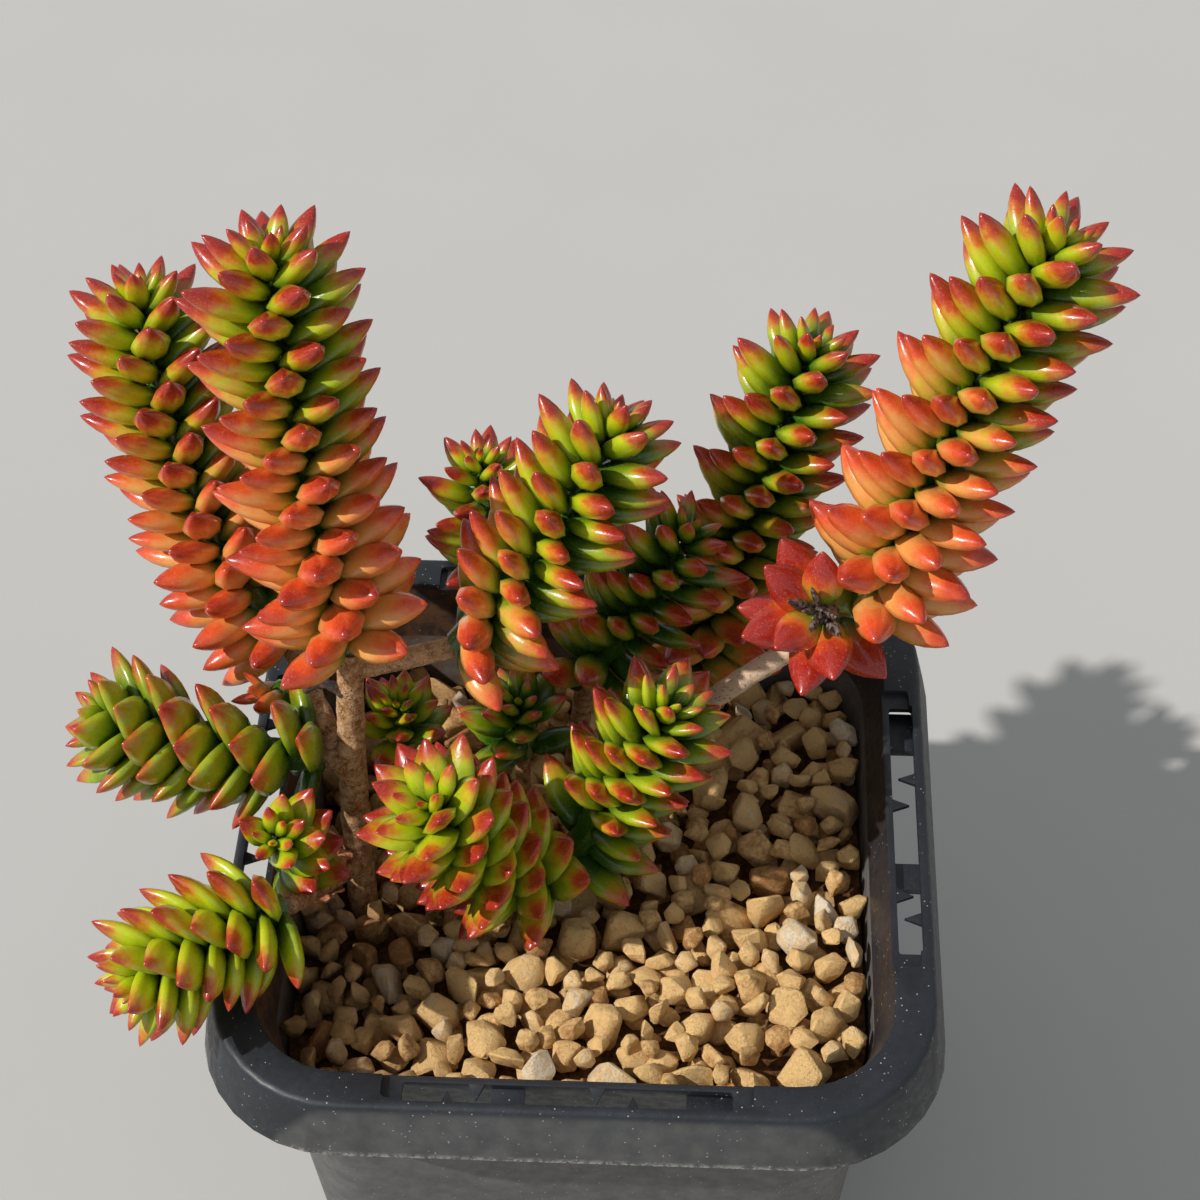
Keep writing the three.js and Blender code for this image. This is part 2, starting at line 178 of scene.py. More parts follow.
# How leaves follow one another down a shoot.
DIVERGENCE = math.radians(139.05)
MATURE_COUNT = 15
LEAF_PITCH = 0.55
ROSETTE_PITCH = 0.5
YOUNG_PITCH_SHARE = 0.3
YOUNG_LENGTH_SHARE = 0.36
YOUNG_TILT = 22
LEAF_TILT = 62
ROSETTE_TILT = 60
LEAF_DROOP = 24
LEAF_RADIUS_SHARE = 0.175
TILT_RAMP = 0.75
LENGTH_RAMP = 0.7
CORE_RADIUS = 2.4
YOUNG_CORE_SHARE = 0.3
DRAWN_CORE_SHARE = 0.85
ROOT_DEPTH_SHARE = 0.6
CLEARANCE = 0.3
PRESS_STEP = 0.12
PRESS_TRIES = 12

# How leaves look: the age and the share of the shoot that choose a leaf's form, where blush sets in and
# over what length it grows, and how far withered leaves have shrunk.
YOUNG_AGE = 0.45
OLD_LOWNESS = 0.72
BLUSH_START = 12
BLUSH_REACH = 26
ROSETTE_FLUSH = -0.09
DRIED_LENGTH_SHARE = 0.62
DRIED_BREADTH_SHARE = 0.55

# The ways to the sun that coloured the leaves, whose shade is also painted on their far sides as deep green,
# and to the lamp that casts the shadows.
TO_SUN = (-0.77, -0.36, 0.53)
TO_LAMP = (-0.69, -0.28, 0.67)

# The camera's place: degrees round from the front, degrees up, degrees of roll, the point it looks at,
# its distance from there, and its lens.
CAMERA_AROUND = 3.2
CAMERA_UP = 48
CAMERA_ROLL = -0.93
CAMERA_TARGET = (0.5, 37.8, POT_HEIGHT)
CAMERA_DISTANCE = 354
CAMERA_LENS = 75


def rod_along(radius, foot, pull, end, taper=0.9, pale=0.2):
    """A stem's radius and the bend it follows.

    Taper is the end's share of the radius, and pale is how bleached the bark is.
    """
    return {"radius": radius, "bend": (foot, pull, end), "taper": taper, "pale": pale}


def shoot_along(
        leaf, foot, pull, tip, turn=1, phase=0, rosette=False,
        breadth=1, dried=0, blush=0, shade=0, flush=None):
    """A shoot's leaf length and the axis it follows, up to its growing tip.

    Turn is the sense in which the leaves wind, and phase the turn of the first of them in degrees. A
    rosette's leaves spread wider than a column's. Breadth is how wide the leaves are against their usual
    form, and dried how many of the first ones have withered. Blush is how orange the lower leaves are,
    shade how much of the light other shoots take, painted on the leaves as a darker green, and flush how red
    all the leaves are.
    """
    if flush is None:
        flush = ROSETTE_FLUSH if rosette else 0
    return {
        "leaf": leaf, "axis": (foot, pull, tip), "turn": turn, "phase": phase, "rosette": rosette,
        "breadth": breadth, "dried": dried, "blush": blush, "shade": shade, "flush": flush,
    }


# The bare stems. A stem's name is that of the CAD node it replaces, and so are the names below.
STEMS = {
    "main_trunk": rod_along(2.1, (-30, -4, 58), (-30, -3, 88), (-28.3, 1, 110.7), taper=0.8, pale=0.3),
    "back_left_branch": rod_along(1.6, (-30, -2, 90), (-35, 4, 98), (-38.5, 13.5, 96.5), pale=0.3),
    "centre_branch": rod_along(1.5, (-28, 1, 107), (-22, 3, 107), (-16, 4, 108), pale=0.5),
    "left_branch": rod_along(1.5, (-29.5, -3, 92), (-31, -2, 92), (-33, -1, 92)),
    "lower_left_branch": rod_along(1.6, (-30, -4.5, 74), (-34, -11, 77), (-36, -21, 87), taper=0.8),
    "right_branch": rod_along(1.4, (-2, 4, 58), (1, 7, 86), (34, 10, 109), taper=1.0, pale=1.0),
    "rosette_stalk": rod_along(1.1, (29, 9, 105.5), (30, 8, 108), (30, 8, 111.5), pale=0.6),
    "front_stem": rod_along(1.8, (-6, 0, 58), (-5, -2, 68), (-4, -4, 74), pale=0.1),
    "cut_stub": rod_along(1.4, (-3.5, -3, 71.8), (1, -2.8, 71.8), (5.2, -2.8, 71.8), taper=1.0),
    "centre_back_stem": rod_along(1.5, (-3, 17, 56), (-2, 18, 76), (0, 19, 87)),
    "right_back_stem": rod_along(1.6, (11, 28, 56), (13, 29, 68), (15, 30, 77)),
    "far_back_stem": rod_along(1.3, (-13, 31, 56), (-13, 33, 76), (-14, 34, 89)),
    "inner_stem": rod_along(1.1, (-9, 12, 58), (-9, 12, 68), (-9, 12, 77)),
    "back_left_stem": rod_along(1.1, (-26, 15, 57), (-26, 16, 66), (-26, 16, 74)),
}

# Shrivelled remains that still cling to the stems, as rods too.
WITHERED = {
    "withered_leaf_left": rod_along(
        0.7, (-29.5, -1, 104.5), (-32, 0, 107), (-34.5, 0.5, 103), taper=0.6, pale=0),
    "withered_shoot_centre": rod_along(
        1.2, (-1.5, 17.5, 86), (-4, 17, 88), (-6, 16, 90), taper=0.6, pale=0),
}

SHOOTS = {
    "tall_left_shoot": shoot_along(10.8, (-28.5, 1, 111.5), (-33.5, 7, 137), (-34.5, 14, 162),
        phase=104, blush=1.0),
    "tall_right_shoot": shoot_along(10.8, (35, 10, 110), (43, 13, 139), (53, 19, 162), phase=128, blush=1.0),
    "back_left_shoot": shoot_along(10.1, (-39, 14, 97), (-52, 20, 110), (-56, 34, 138), phase=40, blush=0.9),
    "centre_shoot": shoot_along(9.8, (-15, 4, 109), (0, 6, 131), (4, 12, 139),
        turn=-1, phase=320, blush=0.85),
    "front_rosette": shoot_along(10.4, (-5, -6.1, 75), (-12, -12, 82), (-18, -14, 99.5),
        blush=0.45, rosette=True, shade=0.1),
    "front_right_rosette": shoot_along(9.6, (-0.8, -2.5, 75.8), (5, -2, 91), (11, -1, 103),
        blush=0.3, rosette=True, shade=0.25),
    "left_shoot": shoot_along(10, (-33, -1, 92), (-47, -2, 93), (-60, -2, 99),
        blush=0.2, rosette=True, shade=0.5, breadth=1.12),
    "rim_shoot": shoot_along(9.8, (-36, -22, 88), (-44, -27, 89), (-52, -34, 89), blush=0.25, rosette=True),
    "back_right_shoot": shoot_along(10.1, (15, 30, 77), (22, 33, 110), (28, 39, 127),
        phase=352, blush=0.45, shade=0.3),
    "shaded_shoot": shoot_along(9.4, (0, 19, 87), (8, 20, 98), (13, 23, 110), blush=0.35, shade=0.6),
    "red_rosette": shoot_along(10, (30, 7, 112), (29.5, 5, 115), (29, 2.5, 118.5),
        blush=1.1, rosette=True, dried=9, flush=0.32),
    "far_back_shoot": shoot_along(8, (-14, 34, 89), (-15, 35, 100), (-15, 37, 108), blush=0.1),
    "small_left_rosette": shoot_along(8, (-37.5, -10, 81), (-38, -12, 86), (-37.5, -15, 93),
        blush=0.7, rosette=True),
    "inner_rosette": shoot_along(8, (-9, 12, 78), (-9, 12, 83), (-9, 12, 88), rosette=True, shade=0.6),
    "back_left_rosette": shoot_along(7, (-26, 16, 75), (-26, 16, 79), (-26, 16, 82), blush=0.1, rosette=True),
    "orange_side_shoot": shoot_along(8.6, (-36.7, 9.5, 91.8), (-39, 9, 91.5), (-42, 8, 93.5), blush=1.2),
}

# Leaf forms, as shares of a leaf's length: full width, full thickness, how far the tip curls up, how
# keeled its upper side is, and how much narrower it gets towards the tip. Their names sort in this order.
LEAF_FORMS = {
    "leaf_1_young": dict(width=0.44, thickness=0.30, curl=0.06, keel=0.10, taper=0.0),
    "leaf_2_column": dict(width=0.46, thickness=0.31, curl=0.07, keel=0.14, taper=0.0),
    "leaf_3_plump": dict(width=0.50, thickness=0.38, curl=0.04, keel=0.05, taper=0.0),
    "leaf_4_boat": dict(width=0.68, thickness=0.28, curl=0.12, keel=0.20, taper=0.26),
}

# A leaf's outline from root to tip: share of its length, of its width and of its thickness.
LEAF_OUTLINE = (
    (0.00, 0.50, 0.66),
    (0.12, 0.76, 0.86),
    (0.28, 0.95, 0.98),
    (0.45, 1.00, 1.00),
    (0.62, 0.91, 0.93),
    (0.76, 0.70, 0.75),
    (0.88, 0.41, 0.48),
    (0.955, 0.19, 0.23),
)
LEAF_SIDES = 8

# What curl and keel do to that outline. At the root the middle line slopes down by this share of its curl,
# before it rises to the tip. A keel draws the upper flanks in and down, and lifts the ridge between them.
CURL_DIP = 0.4
KEEL_INWARD = 0.5
KEEL_DOWN = 1.6
KEEL_RIDGE = 0.3


def from_screen(code):
    """A linear colour from a screen colour such as 0x24272b."""
    shares = [((code >> shift) & 255) / 255 for shift in (16, 8, 0)]
    return [c / 12.92 if c <= 0.04045 else ((c + 0.055) / 1.055) ** 2.4 for c in shares]


def colour_of(name, description, code):
    return FloatVectorProperty(
        name=name, description=description, subtype="COLOR", size=3, min=0, max=1,
        default=from_screen(code))


def length_of(name, description, millimetres):
    return FloatProperty(
        name=name, description=description, default=millimetres * MM, min=0, unit="LENGTH",
        subtype="DISTANCE", precision=4)


def share_of(name, description, default, high=1.0):
    return FloatProperty(
        name=name, description=description, default=default, min=0, max=high, subtype="FACTOR")


class SedumLeafSettings(bpy.types.PropertyGroup):
    """The leaves' proportions and colours."""
    width: share_of("Width", "How wide leaves are, against their usual form", 1.0, 2.0)
    thickness: share_of("Thickness", "How thick leaves are, against their usual form", 1.0, 2.0)
    green: colour_of("Green", "Young and sunny leaves", 0xB4C40C)
    # Deep green is partly the leaves' own colour near their roots, and partly painted shade.
    deep_green: colour_of("Deep green", "The inner ends of leaves, and the shaded side", 0x2C5A04)
    salmon: colour_of("Salmon", "Old leaves in the sun", 0xDC9A4E)
    coral: colour_of("Coral", "The flush behind a leaf's tip", 0xD6441A)
    crimson: colour_of("Crimson", "Leaf tips", 0x98180F)


class SedumStemSettings(bpy.types.PropertyGroup):
    """The bark's relief and colours."""
    knobs: length_of("Knobs", "How far old leaf scars stand out", 0.22)
    brown: colour_of("Brown", "Bark in the shade of the plant", 0x84521F)
    beige: colour_of("Beige", "Bleached bark", 0xC49C72)


class SedumPotSettings(bpy.types.PropertyGroup):
    """The pot's plastic."""
    rounding: length_of("Rounding", "Radius of the small edges round the slots", 0.14)
    plastic: colour_of("Plastic", "Clean plastic", 0x191D23)
    dust: colour_of("Dust", "Dust and lime on the plastic", 0xA9A6A0)


class SedumGritSettings(bpy.types.PropertyGroup):
    """The grit's sizes and colours."""
    smallest: length_of("Smallest", "Radius of the smallest grains", 1.35)
    largest: length_of("Largest", "Radius of the largest grains", 3.2)
    seed: IntProperty(name="Seed", description="Another number pours the grit anew", default=7)
    tan: colour_of("Tan", "Most grains", 0xFACF8C)
    pale: colour_of("Pale", "The palest grains", 0xFBEBD0)
    brown: colour_of("Brown", "The darkest grains", 0xC08A52)


class SedumStageSettings(bpy.types.PropertyGroup):
    """The floor and the light."""
    floor: colour_of("Floor", "The plain floor", 0xB7B6B3)
    sun: FloatProperty(name="Sun", description="Strength of the main light", default=3.8, min=0)
    sky: FloatProperty(name="Sky", description="Strength of the light from all sides", default=0.45, min=0)


class Term:
    """A node's output, which can be added, subtracted and multiplied as a number is."""

    def __init__(self, graph, socket):
        self.graph = graph
        self.socket = socket

    def __add__(self, other):
        return self.graph.math("ADD", self, other)

    def __sub__(self, other):
        return self.graph.math("SUBTRACT", self, other)

    def __mul__(self, other):
        return self.graph.math("MULTIPLY", self, other)

    def __abs__(self):
        return self.graph.math("ABSOLUTE", self)

    __radd__ = __add__
    __rmul__ = __mul__


class Graph:
    """Adds nodes to a tree. A number is set on its socket, and a term, or each in a list, is linked to it."""

    def __init__(self, tree):
        self.tree = tree

    def node(self, kind, values=None, **settings):
        node = self.tree.nodes.new(kind)
        for name, value in settings.items():
            setattr(node, name, value)
        for key, value in (values or {}).items():
            if isinstance(value, (Term, list)):
                for term in value if isinstance(value, list) else [value]:
                    self.tree.links.new(term.socket, node.inputs[key])
            else:
                node.inputs[key].default_value = value
        return node

    def add(self, kind, values=None, out=0, **settings):
        return Term(self, self.node(kind, values, **settings).outputs[out])

    def given(self):
        """The tree's own inputs, by name."""
        return {socket.name: Term(self, socket) for socket in self.node("NodeGroupInput").outputs}

    def attribute(self, name, kind="FLOAT"):
        return self.add("GeometryNodeInputNamedAttribute", {"Name": name}, data_type=kind)

    def math(self, operation, a, b=0.0):
        return self.add("ShaderNodeMath", {0: a, 1: b}, operation=operation)

    def span(self, value, low, high, to_low=0.0, to_high=1.0):
        """A smooth step from to_low to to_high while value goes from low to high."""
        values = {0: value, 1: low, 2: high, 3: to_low, 4: to_high}
        return self.add("ShaderNodeMapRange", values, interpolation_type="SMOOTHSTEP")


class Skin(Graph):
    """A new material. Its patterns are measured in millimetres on Object coordinates."""

    def __init__(self, name):
        self.material = bpy.data.materials.new(name)
        self.material.use_nodes = True
        super().__init__(self.material.node_tree)
        self.tree.nodes.clear()
        where = self.add("ShaderNodeTexCoord", out="Object")
        self.place = self.add("ShaderNodeVectorMath", {0: where, 3: 1 / MM}, operation="SCALE")

    def attribute(self, name):
        return self.add("ShaderNodeAttribute", out="Fac", attribute_name=name, attribute_type="GEOMETRY")

    def noise(self, scale, detail=3.0, roughness=0.5):
        values = {"Vector": self.place, "Scale": scale, "Detail": detail, "Roughness": roughness}
        return self.add("ShaderNodeTexNoise", values, out="Fac")

    def cells(self, scale):
        return self.add("ShaderNodeTexVoronoi", {"Vector": self.place, "Scale": scale})

    def axes(self):
        node = self.node("ShaderNodeSeparateXYZ", {0: self.place})
        return [Term(self, socket) for socket in node.outputs]

    def mix(self, share, a, b):
        a, b = [colour if isinstance(colour, Term) else (*colour, 1.0) for colour in (a, b)]
        return self.add("ShaderNodeMix", {0: share, 6: a, 7: b}, out=2, data_type="RGBA")

    def bump(self, height, distance, strength=1.0, normal=None):
        values = {"Height": height, "Distance": distance * MM, "Strength": strength}
        if normal:
            values["Normal"] = normal
        return self.add("ShaderNodeBump", values)

    def finish(self, colour, roughness, normal, **fixed):
        values = {"Base Color": colour, "Roughness": roughness, "Normal": normal}
        values.update({name.replace("_", " "): value for name, value in fixed.items()})
        shader = self.add("ShaderNodeBsdfPrincipled", values)
        self.node("ShaderNodeOutputMaterial", {"Surface": shader})
        return self.material


class Bend:
    """A quadratic curve from a foot to an end, drawn aside by a pull, and measured along its length."""

    def __init__(self, points):
        self.points = [np.array(point, float) for point in points]
        self.steps = np.linspace(0, 1, 201)
        spots = np.array([self.at(step) for step in self.steps])
        gaps = np.linalg.norm(np.diff(spots, axis=0), axis=1)
        self.lengths = np.concatenate([[0.0], np.cumsum(gaps)])
        self.length = self.lengths[-1]

    def at(self, t):
        foot, pull, end = self.points
        return (1 - t) ** 2 * foot + 2 * t * (1 - t) * pull + t * t * end

    def point(self, share):
        return self.at(np.interp(share * self.length, self.lengths, self.steps))

    def tangent(self, share):
        t = np.interp(share * self.length, self.lengths, self.steps)
        foot, pull, end = self.points
        return unit((1 - t) * (pull - foot) + t * (end - pull))


def unit(vector):
    return vector / np.linalg.norm(vector)


def lerp(low, high, share):
    return low + (high - low) * share


def clamp(value, low=0.0, high=1.0):
    return max(low, min(high, value))


def turned(vector, axis, angle):
    """A vector turned about an axis it is square to."""
    return vector * math.cos(angle) + np.cross(axis, vector) * math.sin(angle)


def link(name, mesh):
    """A new object in the scene with this mesh."""
    made = bpy.data.objects.new(name, mesh)
    bpy.context.scene.collection.objects.link(made)
    return made


def mesh_from(bm, name):
    mesh = bpy.data.meshes.new(name)
    bm.to_mesh(mesh)
    bm.free()
    return mesh


def settle(made):
    """Turns an object with modifiers into the plain mesh that they make."""
    depsgraph = bpy.context.evaluated_depsgraph_get()
    depsgraph.update()
    whole = bpy.data.meshes.new_from_object(
        made.evaluated_get(depsgraph), preserve_all_data_layers=True, depsgraph=depsgraph)
    made.modifiers.clear()
    old = made.data
    made.data = whole
    bpy.data.meshes.remove(old)
    whole.name = made.name


def grow(made, tree, values):
    """Runs a geometry node tree on an object, with its named inputs set, and keeps the result."""
    modifier = made.modifiers.new("Growth", "NODES")
    modifier.node_group = tree
    for item in tree.interface.items_tree:
        if item.item_type == "SOCKET" and item.in_out == "INPUT" and item.name in values:
            modifier[item.identifier] = values[item.name]
    settle(made)


def new_tree(name, inputs):
    """A geometry node tree with a geometry input and output and these named inputs."""
    tree = bpy.data.node_groups.new(name, "GeometryNodeTree")
    tree.interface.new_socket("Geometry", in_out="INPUT", socket_type="NodeSocketGeometry")
    for title, kind in inputs.items():
        tree.interface.new_socket(title, in_out="INPUT", socket_type="NodeSocket" + kind)
    tree.interface.new_socket("Geometry", in_out="OUTPUT", socket_type="NodeSocketGeometry")
    return tree


def tube(graph, path, sides, radius):
    """A closed tube along a path."""
    circle = graph.add("GeometryNodeCurvePrimitiveCircle", {"Resolution": sides, "Radius": 1.0})
    return graph.add("GeometryNodeCurveToMesh", {
        "Curve": path, "Profile Curve": circle, "Scale": radius, "Fill Caps": True})


def set_on_points(graph, points, forms, rotation, scale):
    """A blank on each point, of the form that the point names."""
    blanks = graph.add("GeometryNodeCollectionInfo", {
        "Collection": forms, "Separate Children": True, "Reset Children": True})
    return graph.add("GeometryNodeInstanceOnPoints", {
        "Points": points, "Instance": blanks, "Pick Instance": True,
        "Instance Index": graph.attribute("form", "INT"), "Rotation": rotation, "Scale": scale})


def close_tree(graph, geometry, material):
    """Ends a tree: instances made real, smooth faces, one material."""
    whole = graph.add("GeometryNodeRealizeInstances", {0: geometry})
    smooth = graph.add("GeometryNodeSetShadeSmooth", {0: whole})
    painted = graph.add("GeometryNodeSetMaterial", {0: smooth, "Material": material})
    graph.node("NodeGroupOutput", {0: painted})
    return graph.tree


def collected(name, blanks):
    """A collection of blanks, which stays outside the scene."""
    forms = bpy.data.collections.new(name)
    for blank in blanks:
        forms.objects.link(blank)
    return forms


def discard(forms):
    """Removes such a collection with its blanks."""
    for blank in list(forms.objects):
        bpy.data.objects.remove(blank)
    bpy.data.collections.remove(forms)


def in_metres(points):
    return [[c * MM for c in point] for point in points]


def loft(bm, rings):
    """Faces between rings of points, closed at both ends. Rings run counterclockwise, upwards outside."""
    loops = [[bm.verts.new(Vector(point) * MM) for point in ring] for ring in rings]
    count = len(loops[0])
    for low, high in zip(loops, loops[1:]):
        for i in range(count):
            j = (i + 1) % count
            bm.faces.new((low[i], low[j], high[j], high[i]))
    bm.faces.new(reversed(loops[0]))
    bm.faces.new(loops[-1])


def rounded_rectangle(half_x, half_y, corner, z, middle=(0, 0), steps=8):
    """Points round a rectangle with rounded corners, at one height."""
    points = []
    for quarter in range(4):
        side_x = 1 if quarter in (0, 3) else -1
        side_y = 1 if quarter in (0, 1) else -1
        centre_x = middle[0] + side_x * (half_x - corner)
        centre_y = middle[1] + side_y * (half_y - corner)
        for step in range(steps + 1):
            angle = (quarter + step / steps) * math.pi / 2
            points.append((centre_x + corner * math.cos(angle), centre_y + corner * math.sin(angle), z))
    return points


def mark_sharp(mesh, degrees):
    """Smooth shading, with edges bent by more than this kept sharp."""
    bm = bmesh.new()
    bm.from_mesh(mesh)
    for face in bm.faces:
        face.smooth = True
    for edge in bm.edges:
        edge.smooth = len(edge.link_faces) == 2 and edge.calc_face_angle(0) < math.radians(degrees)
    bm.to_mesh(mesh)
    bm.free()


def grit_level(x, y):
    return GRIT_LEVEL - GRIT_RISE_FRONT * y + GRIT_RISE_RIGHT * x


def rest_level(x, y):
    """The surface that a leaf may lie on: the grit inside the pot, its rim, and nothing beyond."""
    reach = max(abs(x), abs(y))
    if reach < NECK_HALF - WALL:
        return grit_level(x, y) + GRIT_BUMP + 0.3
    return POT_HEIGHT if reach < SKIRT_HALF + 1 else 0


def leaf_places(shoot):
    """Where a shoot's leaves sit, from its growing tip down."""
    axis = Bend(shoot["axis"])
    front = np.array((0.0, -1.0, 0.0))
    full_tilt = ROSETTE_TILT if shoot["rosette"] else LEAF_TILT
    pitch = ROSETTE_PITCH if shoot["rosette"] else LEAF_PITCH
    places = []
    down = 0.0
    while down < axis.length:
        count = len(places)
        age = min(1.0, count / MATURE_COUNT)
        share = 1 - down / axis.length
        along = axis.tangent(share)
        outward = unit(front - along * front.dot(along))
        outward = turned(outward, along, shoot["turn"] * count * DIVERGENCE + math.radians(shoot["phase"]))
        lowness = max(0.0, 2 * down / axis.length - 1)
        tilt = math.radians(lerp(YOUNG_TILT, full_tilt, age ** TILT_RAMP) + LEAF_DROOP * lowness ** 2)
        size = shoot["leaf"] * lerp(YOUNG_LENGTH_SHARE, 1, age ** LENGTH_RAMP)
        core = CORE_RADIUS * lerp(YOUNG_CORE_SHARE, 1, age)
        places.append({
            "root": axis.point(share) + outward * ROOT_DEPTH_SHARE * core,
            "direction": along * math.cos(tilt) + outward * math.sin(tilt),
            "along": along,
            "size": size,
            "radius": LEAF_RADIUS_SHARE * size,
            "age": age,
            "down": down,
            "low": down / axis.length,
            "dry": float(count < shoot["dried"]),
        })
        down += pitch * lerp(YOUNG_PITCH_SHARE, 1, age)
    return places


def pressed_up(leaf):
    """A leaf whose tip would dig into what lies below it is pressed up until it is clear."""
    for _ in range(PRESS_TRIES):
        clear = True
        for share in (0.35, 0.7, 1):
            spot = leaf["root"] + leaf["direction"] * share * leaf["size"]
            under = spot[2] - (leaf["radius"] if share < 1 else 0)
            clear = clear and under > rest_level(spot[0], spot[1]) + CLEARANCE
        if clear:
            return leaf
        leaf["direction"] = unit(leaf["direction"] + np.array((0, 0, PRESS_STEP)))
    return None


def core_stretches(shoot):
    """A shoot's core as two straight stretches, which other shoots' leaves keep clear of."""
    axis = Bend(shoot["axis"])
    stretches = []
    for low, high in ((0, 0.5), (0.5, 1)):
        root = axis.point(low)
        reach = axis.point(high) - root
        size = np.linalg.norm(reach)
        stretches.append({"root": root, "size": size, "direction": reach / size, "radius": CORE_RADIUS})
    return stretches


def gap_between(a, b):
    """The free space between two leaves or stretches, taken as straight round rods."""
    p = a["direction"] * a["size"]
    q = b["direction"] * b["size"]
    r = a["root"] - b["root"]
    pp, qq, pq, pr, qr = p.dot(p), q.dot(q), p.dot(q), p.dot(r), q.dot(r)
    spread = pp * qq - pq * pq
    s = clamp((pq * qr - pr * qq) / spread) if spread > 1e-9 else 0.0
    t = clamp((pq * s + qr) / qq)
    s = clamp((pq * t - pr) / pp)
    return np.linalg.norm(r + p * s - q * t) - a["radius"] - b["radius"]


def settled_leaves():
    """Every shoot's leaves, without those that would run into an earlier shoot's."""
    settled = []
    result = {}
    for name, shoot in SHOOTS.items():
        cores = [core for other in SHOOTS.values() if other is not shoot for core in core_stretches(other)]
        in_the_way = settled + cores
        leaves = [
            leaf for leaf in map(pressed_up, leaf_places(shoot))
            if leaf and all(gap_between(leaf, other) > CLEARANCE for other in in_the_way)]
        settled += leaves
        result[name] = leaves
    return result


def leaf_blank(name, form):
    """One leaf, a length of 1 along Z, with its upper side towards +Y."""
    bm = bmesh.new()
    rings = []
    for z, width, thickness in LEAF_OUTLINE:
        lift = form["curl"] * (z ** 2 - z * CURL_DIP)
        ring = []
        for side in range(LEAF_SIDES):
            angle = 2 * math.pi * side / LEAF_SIDES
            x = 0.5 * form["width"] * width * (1 - form["taper"] * z) * math.cos(angle)
            y = 0.5 * form["thickness"] * thickness * math.sin(angle)
            if side in (1, 3):
                x, y = x * (1 - KEEL_INWARD * form["keel"]), y * (1 - KEEL_DOWN * form["keel"])
            if side == 2:
                y *= 1 + KEEL_RIDGE * form["keel"]
            ring.append(bm.verts.new((x, y + lift, z)))
        rings.append(ring)
    tip = bm.verts.new((0, form["curl"] * (1 - CURL_DIP), 1))
    for low, high in zip(rings, rings[1:]):
        for i in range(LEAF_SIDES):
            j = (i + 1) % LEAF_SIDES
            bm.faces.new((low[i], low[j], high[j], high[i]))
    for i in range(LEAF_SIDES):
        bm.faces.new((rings[-1][i], rings[-1][(i + 1) % LEAF_SIDES], tip))
    bm.faces.new(reversed(rings[0]))
    mesh = mesh_from(bm, name)
    lengthwise = mesh.attributes.new("lengthwise", "FLOAT", "POINT")
    upper = mesh.attributes.new("upper", "FLOAT", "POINT")
    for i in range(len(mesh.vertices)):
        ring, side = divmod(i, LEAF_SIDES)
        is_tip = ring == len(LEAF_OUTLINE)
        lengthwise.data[i].value = 1.0 if is_tip else LEAF_OUTLINE[ring][0]
        upper.data[i].value = 0.5 if is_tip else math.sin(2 * math.pi * side / LEAF_SIDES)
    return bpy.data.objects.new(name, mesh)


def shoot_tree(forms):
    """Sets a leaf on each point and a core along the shoot's axis."""
    graph = Graph(new_tree("Leafy Shoot", {
        "Leaf Width": "Float", "Leaf Thickness": "Float", "Foot": "Vector", "Pull": "Vector", "Tip": "Vector",
        "Core Radius": "Float", "Core Dryness": "Float", "Leaf Skin": "Material",
    }))
    given = graph.given()
    facing = graph.add(
        "FunctionNodeAlignRotationToVector", {"Vector": graph.attribute("heading", "FLOAT_VECTOR")}, axis="Z")
    rolled = graph.add(
        "FunctionNodeAlignRotationToVector",
        {"Rotation": facing, "Vector": graph.attribute("upside", "FLOAT_VECTOR")}, axis="Y", pivot_axis="Z")
    length = graph.attribute("size")
    width = graph.attribute("breadth") * length * given["Leaf Width"]
    scale = graph.add("ShaderNodeCombineXYZ", {0: width, 1: length * given["Leaf Thickness"], 2: length})
    leaves = set_on_points(graph, given["Geometry"], forms, rolled, scale)
    axis = graph.add("GeometryNodeCurveQuadraticBezier", {
        "Resolution": 24, "Start": given["Foot"], "Middle": given["Pull"], "End": given["Tip"]})
    share = graph.add("GeometryNodeSplineParameter", out="Factor")
    radius = given["Core Radius"] * graph.span(share, 0.6, 1.0, 1.0, 0.12)
    slim = graph.add("GeometryNodeSetCurveRadius", {"Curve": axis, "Radius": radius})
    core = graph.add("GeometryNodeStoreNamedAttribute", {
        "Geometry": tube(graph, slim, 10, radius), "Name": "dry", "Value": given["Core Dryness"]})
    both = graph.add("GeometryNodeJoinGeometry", {0: [leaves, core]})
    return close_tree(graph, both, given["Leaf Skin"])


def point_mesh(name, points, attributes):
    """Loose points with named attributes: {name: (kind, values)}."""
    mesh = bpy.data.meshes.new(name)
    mesh.from_pydata(points, [], [])
    fields = {"FLOAT": "value", "INT": "value", "FLOAT_VECTOR": "vector"}
    for title, (kind, values) in attributes.items():
        layer = mesh.attributes.new(title, kind, "POINT")
        layer.data.foreach_set(fields[kind], np.array(values).ravel())
    return mesh


